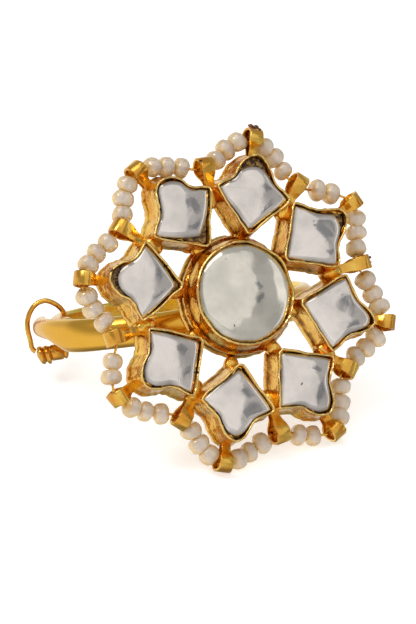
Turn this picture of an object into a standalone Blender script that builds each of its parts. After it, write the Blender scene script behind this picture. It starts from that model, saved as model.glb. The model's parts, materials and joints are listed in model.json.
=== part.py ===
"""Finger ring with a flower head of foil-backed stones and a rim of seed pearls.

The ring is modelled in its own frame: the finger axis is +Z, the bore's centre is the origin and the
head faces -Y. At the end it is laid on its side, as it would lie on a table, with its lowest points at
z = 0 and its bounding box centred on the Z axis. Units are metres.
"""

import math

import bmesh
import bpy
from mathutils import Matrix, Vector

MM = 0.001

# Shank: one open strip, flat inside and domed outside, whose ends overlap at the left side.
BORE = 17.8 * MM
SHANK_THICKNESS = 0.95 * MM
SHOULDER_WIDTH = 2.4 * MM
TONGUE_WIDTH = 1.5 * MM
ARM_GAP = 0.25 * MM
TONGUE_END_DEG = 121.0
INNER_ARM_END_DEG = 84.0
SHANK_STEP_DEG = 7.5

# Head: heights are measured from the plane through the visible middles of the loops. The head sits a
# little higher than the shank, leans back and is turned a few degrees on it, as hand soldering left it.
HEAD_LEAN_DEG = 8.4
HEAD_TURN_DEG = 7.4
HEAD_RISE = 1.0 * MM
SOLDER_DEPTH = 0.35 * MM
RIM_HEIGHT = 1.2 * MM
CUP_DEPTH = 1.1 * MM
CUP_FLOOR = 0.45 * MM
BEZEL_WALL = 0.3 * MM
CUP_FLARE = 0.28 * MM
FOOT_STEP = 0.1 * MM

# Centre collet.
COLLET_DIAMETER = 7.4 * MM
COLLET_FOOT_DIAMETER = 8.9 * MM
COLLET_SHIFT_X = 0.05 * MM
COLLET_SHIFT_Z = 0.3 * MM
COLLET_SIDES = 32
RIB_WIDTH = 0.9 * MM
RIB_HEIGHT = 0.6 * MM

# Petal boxes.
PETALS = 8
PETAL_START = 4.6 * MM
PETAL_LENGTH = 5.65 * MM
PETAL_WIDTH = 5.5 * MM

# Stones.
STONE_GAP = 0.2 * MM
STONE_SINK = 0.2 * MM
CENTRE_DOME = 1.15 * MM
PETAL_DOME = 0.75 * MM

# Loops of flat strip on the rim. A loop's hole stands this far out from the petals' tips, or from the
# middles of their sides.
TIP_LOOP_STAND = 1.42 * MM
GAP_LOOP_STAND = 2.45 * MM
LOOP_DIAMETER = 1.4 * MM
LOOP_HEIGHT = 1.8 * MM
LOOP_DROP = 0.32 * MM
LOOP_STRIP = 0.25 * MM
LOOP_LENGTH = 0.9 * MM
LOOP_HALF_TURN_DEG = 126.0
LOOP_ARC_STEPS = 9
JOINT_BLOCK = 0.9 * MM

# Pearls on their wire.
PEARL_DIAMETER = 1.5 * MM
PEARL_PITCH = 0.98 * MM
STRING_DIAMETER = 0.44 * MM
STRING_DROP = 0.55 * MM
STRING_BULGE = 0.2 * MM
STRING_SAG = 0.3 * MM
STRING_LEAD = 0.12 * MM
PEARL_SIDES = 10

# Keeper: a wire bow closed by a wound sleeve, round both arms of the shank.
KEEPER_AT_DEG = 112.0
KEEPER_WIRE = 0.38 * MM
KEEPER_CLEARANCE = 0.18 * MM
KEEPER_RISE = 1.15 * MM
SLEEVE_DIAMETER = 1.05 * MM
SLEEVE_DROP = 0.45 * MM
COIL_DIAMETER = 1.4 * MM

# at_deg is the place round the finger, from the head and positive towards +X. width runs from 0, the
# tongue's, to 1, the shoulder's. lift is the share of a full step outwards over the inner arm. drop is
# the share by which the wider strip hangs below the tongue, so that their upper edges line up.
SHANK_TABLE = (
    {"at_deg": -121, "width": 0.0, "lift": 1.0, "drop": 0.0},
    {"at_deg": -95, "width": 0.0, "lift": 1.0, "drop": 0.0},
    {"at_deg": -76, "width": 1.0, "lift": 0.9, "drop": 1.0},
    {"at_deg": -36, "width": 0.85, "lift": 0.0, "drop": 0.8},
    {"at_deg": 0, "width": 1.0, "lift": 0.0, "drop": 0.0},
    {"at_deg": 70, "width": 1.0, "lift": 0.0, "drop": 0.0},
    {"at_deg": 190, "width": 0.0, "lift": 0.0, "drop": 0.0},
    {"at_deg": 276, "width": 0.0, "lift": 0.0, "drop": 0.0},
)

# Half of the strip's section: across is a share of the width, thick a share of the thickness.
SHANK_SECTION = (
    {"across": 0.5, "thick": 0.0},
    {"across": 0.5, "thick": 0.34},
    {"across": 0.36, "thick": 0.78},
    {"across": 0.13, "thick": 1.0},
)

# Half of a petal's outline, from the inner corner to the tip: along is a share of the length, across a
# share of half the width. lobe is how much of that side's own fullness from the next table is added.
PETAL_OUTLINE = (
    {"along": 0.00, "across": 0.10, "lobe": 0.0},
    {"along": 0.44, "across": 0.92, "lobe": 0.0},
    {"along": 0.52, "across": 1.01, "lobe": 0.0},
    {"along": 0.59, "across": 0.90, "lobe": 0.0},
    {"along": 0.66, "across": 0.64, "lobe": 0.2},
    {"along": 0.73, "across": 0.50, "lobe": 0.6},
    {"along": 0.84, "across": 0.38, "lobe": 1.0},
    {"along": 0.94, "across": 0.26, "lobe": 0.7},
    {"along": 1.00, "across": 0.10, "lobe": 0.1},
)

# Each petal by hand: start and length are shares of their sizes, swing turns the petal on its middle,
# and slide moves it sideways by a share of the width. back_lobe and fore_lobe are how much fuller its
# tip is on the side that faces the petal before it, and on the side that faces the next one.
PETAL_TABLE = (
    {"start": 1.01, "length": 1.00, "swing": 1.5, "slide": 0.00, "back_lobe": 0.09, "fore_lobe": 0.02},
    {"start": 0.94, "length": 1.02, "swing": 1.5, "slide": -0.02, "back_lobe": -0.04, "fore_lobe": 0.04},
    {"start": 0.95, "length": 1.02, "swing": 6.5, "slide": 0.01, "back_lobe": -0.04, "fore_lobe": 0.00},
    {"start": 0.99, "length": 1.01, "swing": -2.5, "slide": 0.03, "back_lobe": 0.00, "fore_lobe": 0.05},
    {"start": 1.06, "length": 0.96, "swing": 0.5, "slide": -0.01, "back_lobe": 0.00, "fore_lobe": 0.02},
    {"start": 1.00, "length": 0.97, "swing": 3.5, "slide": -0.02, "back_lobe": 0.02, "fore_lobe": 0.06},
    {"start": 1.07, "length": 0.96, "swing": -2.0, "slide": 0.01, "back_lobe": 0.04, "fore_lobe": 0.04},
    {"start": 1.00, "length": 1.01, "swing": -1.5, "slide": 0.01, "back_lobe": -0.02, "fore_lobe": 0.14},
)

# Each loop by hand, from the one above the head's middle and clockwise: drift in degrees, reach as a
# share of its size, and the pearls between it and the next loop.
LOOP_TABLE = (
    {"drift": 2.0, "reach": 0.985, "pearls": 3},
    {"drift": 0.7, "reach": 1.01, "pearls": 3},
    {"drift": 0.9, "reach": 0.995, "pearls": 2},
    {"drift": 0.0, "reach": 1.00, "pearls": 3},
    {"drift": -0.6, "reach": 1.02, "pearls": 3},
    {"drift": 0.2, "reach": 0.99, "pearls": 3},
    {"drift": 0.9, "reach": 0.97, "pearls": 3},
    {"drift": 0.5, "reach": 1.00, "pearls": 2},
    {"drift": -1.2, "reach": 1.01, "pearls": 3},
    {"drift": 0.5, "reach": 1.00, "pearls": 3},
    {"drift": -1.0, "reach": 0.98, "pearls": 3},
    {"drift": 1.0, "reach": 1.00, "pearls": 2},
    {"drift": -1.2, "reach": 1.00, "pearls": 3},
    {"drift": -0.8, "reach": 1.005, "pearls": 3},
    {"drift": -0.5, "reach": 1.02, "pearls": 3},
    {"drift": -1.8, "reach": 1.00, "pearls": 3},
)

# One pearl's outline along the string: at is a share of the pitch, radius a share of the pearl's.
PEARL_OUTLINE = (
    {"at": -0.48, "radius": 0.42},
    {"at": -0.34, "radius": 0.82},
    {"at": -0.12, "radius": 1.00},
    {"at": 0.12, "radius": 1.00},
    {"at": 0.34, "radius": 0.82},
    {"at": 0.48, "radius": 0.42},
)

# The bow's wire from its outer foot to its inner one: reach is the share of the way from inside the
# arms to outside them, and rise a share of the bow's top, or of the sleeve's drop where it is negative.
BOW_TABLE = (
    {"reach": 0.90, "rise": -0.92},
    {"reach": 0.98, "rise": -0.45},
    {"reach": 1.00, "rise": 0.08},
    {"reach": 0.94, "rise": 0.50},
    {"reach": 0.75, "rise": 0.86},
    {"reach": 0.50, "rise": 1.00},
    {"reach": 0.24, "rise": 0.84},
    {"reach": 0.06, "rise": 0.50},
    {"reach": 0.00, "rise": 0.04},
    {"reach": 0.00, "rise": -0.55},
    {"reach": 0.02, "rise": -0.90},
)

# The barrel and the two wound turns that close the bow: radius is a share of the sleeve's or the
# coil's, whichever the row names.
SLEEVE_TABLE = (
    {"reach": 0.05, "radius": 1.00, "part": "sleeve"},
    {"reach": 0.12, "radius": 1.08, "part": "sleeve"},
    {"reach": 0.18, "radius": 0.92, "part": "sleeve"},
    {"reach": 0.46, "radius": 0.96, "part": "sleeve"},
    {"reach": 0.50, "radius": 1.00, "part": "coil"},
    {"reach": 0.60, "radius": 1.00, "part": "coil"},
    {"reach": 0.64, "radius": 0.86, "part": "coil"},
    {"reach": 0.68, "radius": 1.00, "part": "coil"},
    {"reach": 0.78, "radius": 1.00, "part": "coil"},
    {"reach": 0.82, "radius": 0.58, "part": "sleeve"},
)

BORE_RADIUS = BORE / 2
SHANK_OUTSIDE = BORE_RADIUS + SHANK_THICKNESS
TONGUE_LIFT = SHANK_THICKNESS + ARM_GAP
COLLET_RADIUS = COLLET_DIAMETER / 2
COLLET_FOOT = COLLET_FOOT_DIAMETER / 2
LOOP_RADIUS = LOOP_DIAMETER / 2
PETAL_MIDDLE = PETAL_START + PETAL_LENGTH / 2
TIP_LOOP_REACH = PETAL_START + PETAL_LENGTH + TIP_LOOP_STAND
GAP_LOOP_REACH = PETAL_MIDDLE + GAP_LOOP_STAND
SIDEWAYS = math.cos(math.radians(60))


def clear_scene():
    for obj in list(bpy.data.objects):
        bpy.data.objects.remove(obj)


def material(name, colour, roughness, metallic):
    """A Principled material with the part's own colour."""
    made = bpy.data.materials.new(name)
    made.use_nodes = True
    shader = made.node_tree.nodes["Principled BSDF"]
    shader.inputs["Base Color"].default_value = (*colour, 1)
    shader.inputs["Roughness"].default_value = roughness
    shader.inputs["Metallic"].default_value = metallic
    return made


def solid(name, points, faces, finish=None):
    """A mesh object from points and faces, with its normals turned outwards."""
    mesh = bpy.data.meshes.new(name)
    mesh.from_pydata([tuple(p) for p in points], [], faces)
    work = bmesh.new()
    work.from_mesh(mesh)
    bmesh.ops.recalc_face_normals(work, faces=work.faces)
    work.to_mesh(mesh)
    work.free()
    mesh.shade_smooth()
    mesh.set_sharp_from_angle(angle=math.radians(35))
    if finish:
        mesh.materials.append(finish)
    obj = bpy.data.objects.new(name, mesh)
    bpy.context.scene.collection.objects.link(obj)
    return obj


def helper(obj):
    """Marks a body that only feeds a Boolean."""
    obj.hide_render = True
    obj.display_type = "WIRE"
    return obj


def loft(name, rings, finish=None, closed=False):
    """Joins rings of equally many points. An open loft gets a cap at each end."""
    count = len(rings[0])
    points = [p for ring in rings for p in ring]
    faces = []
    for k in range(len(rings) if closed else len(rings) - 1):
        here = k * count
        there = (k + 1) % len(rings) * count
        for i in range(count):
            j = (i + 1) % count
            faces.append((here + i, here + j, there + j, there + i))
    if not closed:
        faces.append(tuple(reversed(range(count))))
        faces.append(tuple(range(len(points) - count, len(points))))
    return solid(name, points, faces, finish)


def eased(table, place, column):
    """Reads a column of a table between two rows, with level starts and ends."""
    rows = sorted(table, key=lambda row: row["at_deg"])
    if place <= rows[0]["at_deg"]:
        return rows[0][column]
    for low, high in zip(rows, rows[1:]):
        if place <= high["at_deg"]:
            share = (place - low["at_deg"]) / (high["at_deg"] - low["at_deg"])
            share = share * share * (3 - 2 * share)
            return low[column] + share * (high[column] - low[column])
    return rows[-1][column]


def head_axes():
    """The head's right, up and outward directions in the ring's frame."""
    lean = math.radians(HEAD_LEAN_DEG)
    right = Vector((1, 0, 0))
    up = Vector((0, math.sin(lean), math.cos(lean)))
    outward = Vector((0, -math.cos(lean), math.sin(lean)))
    return right, up, outward


def on_head(x, z, height):
    """A point of the head: x to the right, z up its face, height in front of the loops' plane."""
    right, up, outward = head_axes()
    back = Vector((0, -(SHANK_OUTSIDE - SOLDER_DEPTH), HEAD_RISE))
    return back + right * x + up * z + outward * (height + CUP_DEPTH)


def polar(angle_deg, radius):
    """Head coordinates of a place on the flower, whose angles run clockwise from its own top."""
    angle = math.radians(angle_deg - HEAD_TURN_DEG)
    return Vector((radius * math.sin(angle), radius * math.cos(angle)))


def widened(outline, distance):
    """Moves each side of a closed outline outwards by distance, or inwards if it is negative."""
    count = len(outline)
    area = sum(
        outline[i].x * outline[(i + 1) % count].y - outline[(i + 1) % count].x * outline[i].y
        for i in range(count)
    )
    turn = 1 if area > 0 else -1
    moved = []
    for i, point in enumerate(outline):
        before = (point - outline[i - 1]).normalized()
        after = (outline[(i + 1) % count] - point).normalized()
        normal_before = Vector((before.y, -before.x)) * turn
        normal_after = Vector((after.y, -after.x)) * turn
        middle = (normal_before + normal_after).normalized()
        moved.append(point + middle * (distance / max(middle.dot(normal_before), 0.6)))
    return moved


def petal_outline(index):
    """The rim of one petal's box in head coordinates."""
    row = PETAL_TABLE[index % len(PETAL_TABLE)]
    angle = 360 / PETALS * (index + 0.5)
    length = PETAL_LENGTH * row["length"]
    start = PETAL_START * row["start"]
    along = polar(angle + row["swing"], 1)
    across = Vector((along.y, -along.x))
    middle = polar(angle, start + length / 2) + across * (row["slide"] * PETAL_WIDTH)
    outline = []
    for side, key, points in (
        (1, "fore_lobe", PETAL_OUTLINE),
        (-1, "back_lobe", tuple(reversed(PETAL_OUTLINE))),
    ):
        for point in points:
            reach = (point["along"] - 0.5) * length
            spread = (point["across"] + point["lobe"] * row[key]) * PETAL_WIDTH / 2
            outline.append(middle + along * reach + across * (side * spread))
    return outline


def ring_at(outline, height):
    return [on_head(p.x, p.y, height) for p in outline]


def petal_box(index):
    """The outer body of one petal's setting, flared towards its foot.

    Every other foot lies a step deeper, so that neighbours don't share one plane where they overlap.
    """
    rim = petal_outline(index)
    foot = -CUP_DEPTH - FOOT_STEP * (index % 2)
    levels = ((foot, 1.0), (foot + CUP_FLOOR, 0.8), (RIM_HEIGHT, 0.0))
    rings = [ring_at(widened(rim, CUP_FLARE * flare), height) for height, flare in levels]
    return helper(loft(f"petal_box_{index + 1}", rings))


def petal_pocket(index):
    """The hollow of one petal's setting."""
    inside = widened(petal_outline(index), -BEZEL_WALL)
    heights = (-CUP_DEPTH + CUP_FLOOR, RIM_HEIGHT + BEZEL_WALL)
    return helper(loft(f"petal_pocket_{index + 1}", [ring_at(inside, h) for h in heights]))


def domed_stone(name, outline, dome, finish):
    """A flat-backed stone that fills an outline, with a girdle and a low dome of three tiers."""
    middle = sum(outline, Vector((0, 0))) / len(outline)
    girdle = RIM_HEIGHT - STONE_SINK
    tiers = (
        (1.0, -CUP_DEPTH + CUP_FLOOR + STONE_GAP),
        (1.0, girdle),
        (0.78, girdle + dome * 0.58),
        (0.45, girdle + dome * 0.92),
        (0.15, girdle + dome),
    )
    rings = [ring_at([middle + (p - middle) * size for p in outline], h) for size, h in tiers]
    return loft(name, rings, finish)


def petal_stone(index, finish):
    outline = widened(petal_outline(index), -BEZEL_WALL - STONE_GAP)
    return domed_stone(f"petal_stone_{index + 1}", outline, PETAL_DOME, finish)


def circle(radius):
    """An outline round the collet's own middle."""
    middle = Vector((COLLET_SHIFT_X, COLLET_SHIFT_Z))
    turns = [2 * math.pi * k / COLLET_SIDES for k in range(COLLET_SIDES)]
    return [middle + Vector((math.cos(a), math.sin(a))) * radius for a in turns]


def centre_stone(finish):
    return domed_stone(
        "centre_stone", circle(COLLET_RADIUS - BEZEL_WALL - STONE_GAP), CENTRE_DOME, finish
    )


def collet(finish):
    """The centre cup, with a stepped foot whose back is soldered to the shank."""
    foot = COLLET_FOOT
    waist = COLLET_RADIUS + CUP_FLARE
    inside = COLLET_RADIUS - BEZEL_WALL
    back = -CUP_DEPTH - SOLDER_DEPTH * 0.3
    profile = (
        (foot - BEZEL_WALL * 0.5, back),
        (foot, back + CUP_FLOOR * 0.5),
        (foot, -CUP_DEPTH + CUP_FLOOR),
        ((foot + waist) / 2, -CUP_DEPTH + CUP_FLOOR * 1.8),
        (waist, -CUP_DEPTH + CUP_FLOOR * 2.2),
        (COLLET_RADIUS, RIM_HEIGHT),
        (inside, RIM_HEIGHT),
        (inside, -CUP_DEPTH + CUP_FLOOR),
    )
    return loft("ring_frame", [ring_at(circle(r), h) for r, h in profile], finish)


def block(name, angle_deg, near, far, width, low, high):
    """A straight bar on the head, from near to far along the flower's radius."""
    along = polar(angle_deg, 1)
    across = Vector((along.y, -along.x)) * (width / 2)
    outline = [along * near - across, along * far - across, along * far + across, along * near + across]
    return helper(loft(name, [ring_at(outline, low), ring_at(outline, high)]))


def rib(index):
    """Joins one petal's inner corner to the collet's foot."""
    row = PETAL_TABLE[index % len(PETAL_TABLE)]
    near = COLLET_RADIUS - BEZEL_WALL * 0.4
    far = PETAL_START * row["start"] + RIB_WIDTH
    low = -CUP_DEPTH + CUP_FLARE * 0.3
    angle = 360 / PETALS * (index + 0.5)
    return block(f"rib_{index + 1}", angle, near, far, RIB_WIDTH, low, low + RIB_HEIGHT)


def joint_block(index):
    """The solder between two neighbouring petals, which also holds a loop."""
    low = -CUP_DEPTH + CUP_FLARE * 0.4
    return block(
        f"joint_block_{index + 1}",
        360 / PETALS * index,
        PETAL_MIDDLE - JOINT_BLOCK * 0.6,
        PETAL_MIDDLE + JOINT_BLOCK * 0.85,
        JOINT_BLOCK,
        low,
        RIM_HEIGHT * 0.55,
    )


def loop_place(index):
    """Angle and reach of the middle of one loop. Even loops stand between petals, odd ones at tips."""
    row = LOOP_TABLE[index % len(LOOP_TABLE)]
    size = TIP_LOOP_REACH if index % 2 else GAP_LOOP_REACH
    return 180 / PETALS * index + row["drift"], size * row["reach"]


def loop_root(index):
    """How far out the metal lies that carries one loop."""
    if index % 2 == 0:
        return PETAL_MIDDLE + JOINT_BLOCK * 0.25
    row = PETAL_TABLE[index // 2 % len(PETAL_TABLE)]
    return PETAL_START * row["start"] + PETAL_LENGTH * row["length"] - BEZEL_WALL * 0.4


def drop_outline(radius, half_height, tail, narrow):
    """A drop in (outward, height): round outside, drawn in to a narrow end at the tail."""
    half_turn = math.radians(LOOP_HALF_TURN_DEG)
    turns = [half_turn * (2 * k / LOOP_ARC_STEPS - 1) for k in range(LOOP_ARC_STEPS + 1)]
    arc = [(radius * math.cos(a), half_height * math.sin(a) - LOOP_DROP) for a in turns]
    return arc + [(-tail, narrow - LOOP_DROP), (-tail, -narrow - LOOP_DROP)]


def rim_loop(index):
    """One loop of flat strip, whose hole runs along the rim for the wire."""
    angle, reach = loop_place(index)
    tail = reach - loop_root(index)
    half = LOOP_HEIGHT / 2
    outer = drop_outline(LOOP_RADIUS, half, tail, LOOP_STRIP)
    inner = drop_outline(
        LOOP_RADIUS - LOOP_STRIP, half - LOOP_STRIP, tail - 2 * LOOP_STRIP, LOOP_STRIP * 0.3
    )
    along = polar(angle, 1)
    across = Vector((along.y, -along.x)) * (LOOP_LENGTH / 2)
    rings = []
    for outline, side in ((outer, -1), (outer, 1), (inner, 1), (inner, -1)):
        spots = [(along * (reach + out) + across * side, height) for out, height in outline]
        rings.append([on_head(spot.x, spot.y, height) for spot, height in spots])
    return helper(loft(f"rim_loop_{index + 1}", rings, closed=True))


def shank_station(place_deg, pinch=1.0):
    """One section of the strip. pinch narrows it, for the round ends."""
    width = TONGUE_WIDTH + eased(SHANK_TABLE, place_deg, "width") * (SHOULDER_WIDTH - TONGUE_WIDTH)
    inside = BORE_RADIUS + TONGUE_LIFT * eased(SHANK_TABLE, place_deg, "lift")
    drop = (SHOULDER_WIDTH - TONGUE_WIDTH) / 2 * eased(SHANK_TABLE, place_deg, "drop")
    angle = math.radians(place_deg)
    out = Vector((math.sin(angle), -math.cos(angle), 0))
    half = [(row["across"] * width * pinch, row["thick"] * SHANK_THICKNESS) for row in SHANK_SECTION]
    section = half + [(-across, thick) for across, thick in reversed(half)]
    return [out * (inside + thick) + Vector((0, 0, across - drop)) for across, thick in section]


def shank_arm(name, end_deg, turn):
    """Half of the strip, from under the head to its round end. turn is +1 towards +X."""
    steps = max(4, round(end_deg / SHANK_STEP_DEG))
    nose_deg = math.degrees(TONGUE_WIDTH / 2 / BORE_RADIUS)
    stops = [(end_deg - nose_deg) * k / steps for k in range(steps + 1)]
    rings = [shank_station(turn * stop) for stop in stops]
    for share in (0.4, 0.75, 0.96):
        pinch = math.sqrt(1 - share * share)
        rings.append(shank_station(turn * (end_deg - nose_deg * (1 - share)), pinch))
    return helper(loft(name, rings))


def shank():
    """The strip's two arms, which start a little past each other under the head."""
    outer = shank_arm("outer_arm", TONGUE_END_DEG, -1)
    inner = shank_arm("inner_arm", 360 - INNER_ARM_END_DEG, 1)
    lap = math.radians(SHANK_STEP_DEG) / 4
    inner.matrix_world = Matrix.Rotation(-lap, 4, "Z")
    return [outer, inner]


def ring_frame(finish):
    """All the soldered gold as one body: shank, collet, petal boxes and loops."""
    frame = collet(finish)
    added = bpy.data.collections.new("soldered")
    cut = bpy.data.collections.new("pockets")
    bodies = shank() + [rib(k) for k in range(PETALS)] + [joint_block(k) for k in range(PETALS)]
    bodies += [petal_box(k) for k in range(PETALS)] + [rim_loop(k) for k in range(2 * PETALS)]
    for body in bodies:
        added.objects.link(body)
    for k in range(PETALS):
        cut.objects.link(petal_pocket(k))
    for name, operation, group in (("solder", "UNION", added), ("hollow", "DIFFERENCE", cut)):
        boolean = frame.modifiers.new(name, "BOOLEAN")
        boolean.operand_type = "COLLECTION"
        boolean.operation = operation
        boolean.solver = "EXACT"
        boolean.collection = group
    return frame


def tube(name, stops, sides, finish):
    """A closed sweep through stops of (point, radius)."""
    count = len(stops)
    rings = []
    side = None
    for i, (point, radius) in enumerate(stops):
        before = (point - stops[i - 1][0]).normalized()
        after = (stops[(i + 1) % count][0] - point).normalized()
        tangent = (before + after).normalized()
        if side is None:
            side = tangent.orthogonal()
        side = (side - tangent * side.dot(tangent)).normalized()
        other = tangent.cross(side)
        turns = [2 * math.pi * k / sides for k in range(sides)]
        rings.append([point + side * (radius * math.cos(a)) + other * (radius * math.sin(a)) for a in turns])
    return loft(name, rings, finish, closed=True)


def string_point(start, end, share):
    """A place on the wire between two loops, where the pearls push it outwards and let it sag back."""
    middle = start.lerp(end, share)
    bow = math.sin(math.pi * share)
    spot = middle + middle.normalized() * (STRING_BULGE * bow)
    return on_head(spot.x, spot.y, -STRING_DROP - STRING_SAG * bow)


def loop_middle(index):
    """The head coordinates of one loop's hole, and half of the wire's straight run through it."""
    angle, reach = loop_place(index % (2 * PETALS))
    along = polar(angle, 1)
    across = Vector((along.y, -along.x))
    return along * reach, across * (LOOP_LENGTH / 2 + STRING_LEAD)


def pearl_string(finish):
    """The whole rim of pearls and the wire through the loops, as one closed body."""
    wire = STRING_DIAMETER / 2
    stops = []
    for index in range(2 * PETALS):
        hole, run = loop_middle(index)
        next_hole, next_run = loop_middle(index + 1)
        start = hole + run
        end = next_hole - next_run
        pitch = PEARL_PITCH / (end - start).length
        count = LOOP_TABLE[index % len(LOOP_TABLE)]["pearls"]
        stops.append((on_head(hole.x, hole.y, -STRING_DROP), wire))
        stops.append((string_point(start, end, 0), wire))
        for pearl in range(count):
            middle = 0.5 + (pearl - (count - 1) / 2) * pitch
            for row in PEARL_OUTLINE:
                place = string_point(start, end, middle + row["at"] * pitch)
                stops.append((place, row["radius"] * PEARL_DIAMETER / 2))
        stops.append((string_point(start, end, 1), wire))
    return tube("pearl_string", stops, PEARL_SIDES, finish)


def keeper_loop(finish):
    """A wire bow round both arms, closed below them by a barrel and two wound turns."""
    wire = KEEPER_WIRE / 2
    outside = BORE_RADIUS + TONGUE_LIFT + SHANK_THICKNESS + KEEPER_CLEARANCE + wire
    inside = BORE_RADIUS - KEEPER_CLEARANCE - wire
    span = outside - inside
    edge = TONGUE_WIDTH / 2
    below = edge + KEEPER_CLEARANCE + SLEEVE_DROP
    radii = {"sleeve": SLEEVE_DIAMETER / 2, "coil": COIL_DIAMETER / 2}
    path = []
    for row in BOW_TABLE:
        height = edge + KEEPER_RISE if row["rise"] > 0 else below + radii["sleeve"]
        path.append((inside + span * row["reach"], height * row["rise"], wire))
    for row in SLEEVE_TABLE:
        radius = radii[row["part"]]
        path.append((inside + span * row["reach"], -below - radius, radius * row["radius"]))
    angle = math.radians(-KEEPER_AT_DEG)
    out = Vector((math.sin(angle), -math.cos(angle), 0))
    stops = [(out * reach + Vector((0, 0, height)), radius) for reach, height, radius in path]
    return tube("keeper_loop", stops, PEARL_SIDES, finish)


def solid_points(pieces):
    """Every corner of the finished pieces, and the middle of their metal and stone."""
    bpy.context.view_layer.update()
    graph = bpy.context.evaluated_depsgraph_get()
    points = []
    weight = 0
    middle = Vector((0, 0, 0))
    for piece in pieces:
        mesh = piece.evaluated_get(graph).to_mesh()
        mesh.calc_loop_triangles()
        corners = [piece.matrix_world @ v.co for v in mesh.vertices]
        points += corners
        for triangle in mesh.loop_triangles:
            a, b, c = (corners[i] for i in triangle.vertices)
            volume = a.dot(b.cross(c)) / 6
            weight += volume
            middle += (a + b + c) / 4 * volume
        piece.evaluated_get(graph).to_mesh_clear()
    return points, middle / weight


def resting_turn(points, middle):
    """The turn that brings down the hull's face on which the ring settles when laid on its side.

    Of the faces that point down the finger's axis and have the centre of mass over them, it is the one
    with the centre of mass lowest.
    """
    work = bmesh.new()
    for point in points:
        work.verts.new(point)
    hull = bmesh.ops.convex_hull(work, input=work.verts)
    faces = [item for item in hull["geom"] if isinstance(item, bmesh.types.BMFace)]
    best = None
    lowest = math.inf
    for face in faces:
        normal = face.normal.copy()
        corner = face.verts[0].co
        if normal.dot(corner - middle) < 0:
            normal.negate()
        height = normal.dot(corner - middle)
        foot = middle + normal * height
        inward = [
            (b.co - a.co).cross(foot - a.co).dot(normal)
            for a, b in zip(face.verts, list(face.verts)[1:] + [face.verts[0]])
        ]
        steady = all(side >= 0 for side in inward) or all(side <= 0 for side in inward)
        if steady and normal.z < -SIDEWAYS and height < lowest:
            best = normal
            lowest = height
    work.free()
    return best.rotation_difference(Vector((0, 0, -1))).to_matrix().to_4x4()


def lay_down(pieces, helpers):
    """Lays the ring on its side with the head to -Y, and parents everything to one empty."""
    points, middle = solid_points(pieces)
    turn = resting_turn(points, middle)
    facing = turn @ (head_axes()[2])
    heading = Matrix.Rotation(-math.pi / 2 - math.atan2(facing.y, facing.x), 4, "Z")
    turn = heading @ turn
    turned = [turn @ p for p in points]
    low = Vector([min(p[i] for p in turned) for i in range(3)])
    high = Vector([max(p[i] for p in turned) for i in range(3)])
    shift = Matrix.Translation((-(low.x + high.x) / 2, -(low.y + high.y) / 2, -low.z))
    pose = bpy.data.objects.new("resting_pose", None)
    bpy.context.scene.collection.objects.link(pose)
    pose.matrix_world = shift @ turn
    for obj in pieces + helpers:
        obj.parent = pose


def main():
    clear_scene()
    gold = material("gold_plate", (0.83, 0.56, 0.14), 0.28, 1.0)
    crystal = material("foiled_crystal", (0.78, 0.77, 0.74), 0.12, 0.6)
    pearl = material("seed_pearl", (0.83, 0.76, 0.68), 0.3, 0.0)
    pieces = [ring_frame(gold), centre_stone(crystal)]
    pieces += [petal_stone(k, crystal) for k in range(PETALS)]
    pieces += [pearl_string(pearl), keeper_loop(gold)]
    helpers = [obj for obj in bpy.data.objects if obj.hide_render]
    lay_down(pieces, helpers)


main()
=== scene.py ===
"""Looks of a gilded finger ring: a flower of foil-backed crystals inside a rim of seed pearls.

The file is laid out as a Blender add-on and is run as a script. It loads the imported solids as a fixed
frame, builds each visible piece where its solid lies, and sets a pale studio round the ring.

Two sets of coordinates are used. The flower's are x to the right and z up its face, with heights in front
of the plane through its loops. The shank's have the finger's axis as z and the head on the -y side.
"""

import json
import math

import bmesh
import bpy
from mathutils import Matrix, Vector, noise


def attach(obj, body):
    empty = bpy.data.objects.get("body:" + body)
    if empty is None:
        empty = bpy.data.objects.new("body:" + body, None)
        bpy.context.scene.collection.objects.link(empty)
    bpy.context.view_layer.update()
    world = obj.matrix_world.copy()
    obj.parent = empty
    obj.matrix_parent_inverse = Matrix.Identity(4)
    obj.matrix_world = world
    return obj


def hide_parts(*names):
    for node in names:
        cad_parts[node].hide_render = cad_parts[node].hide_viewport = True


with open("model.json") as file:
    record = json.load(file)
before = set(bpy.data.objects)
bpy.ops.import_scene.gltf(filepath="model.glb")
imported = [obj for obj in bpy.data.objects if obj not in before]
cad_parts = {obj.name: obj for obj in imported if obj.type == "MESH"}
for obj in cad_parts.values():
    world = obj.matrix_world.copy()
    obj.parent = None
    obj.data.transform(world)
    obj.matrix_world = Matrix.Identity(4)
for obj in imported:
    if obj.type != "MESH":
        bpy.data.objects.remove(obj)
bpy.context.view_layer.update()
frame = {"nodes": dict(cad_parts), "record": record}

bl_info = {
    "name": "Flower ring looks",
    "version": (1, 0, 0),
    "blender": (4, 5, 0),
    "location": "View3D > Sidebar > Flower ring",
    "description": "Builds the visible pieces of a gilded flower ring on its solids",
    "category": "Object",
}

MM = 0.001
PETALS = 8
BODY = "root"

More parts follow.
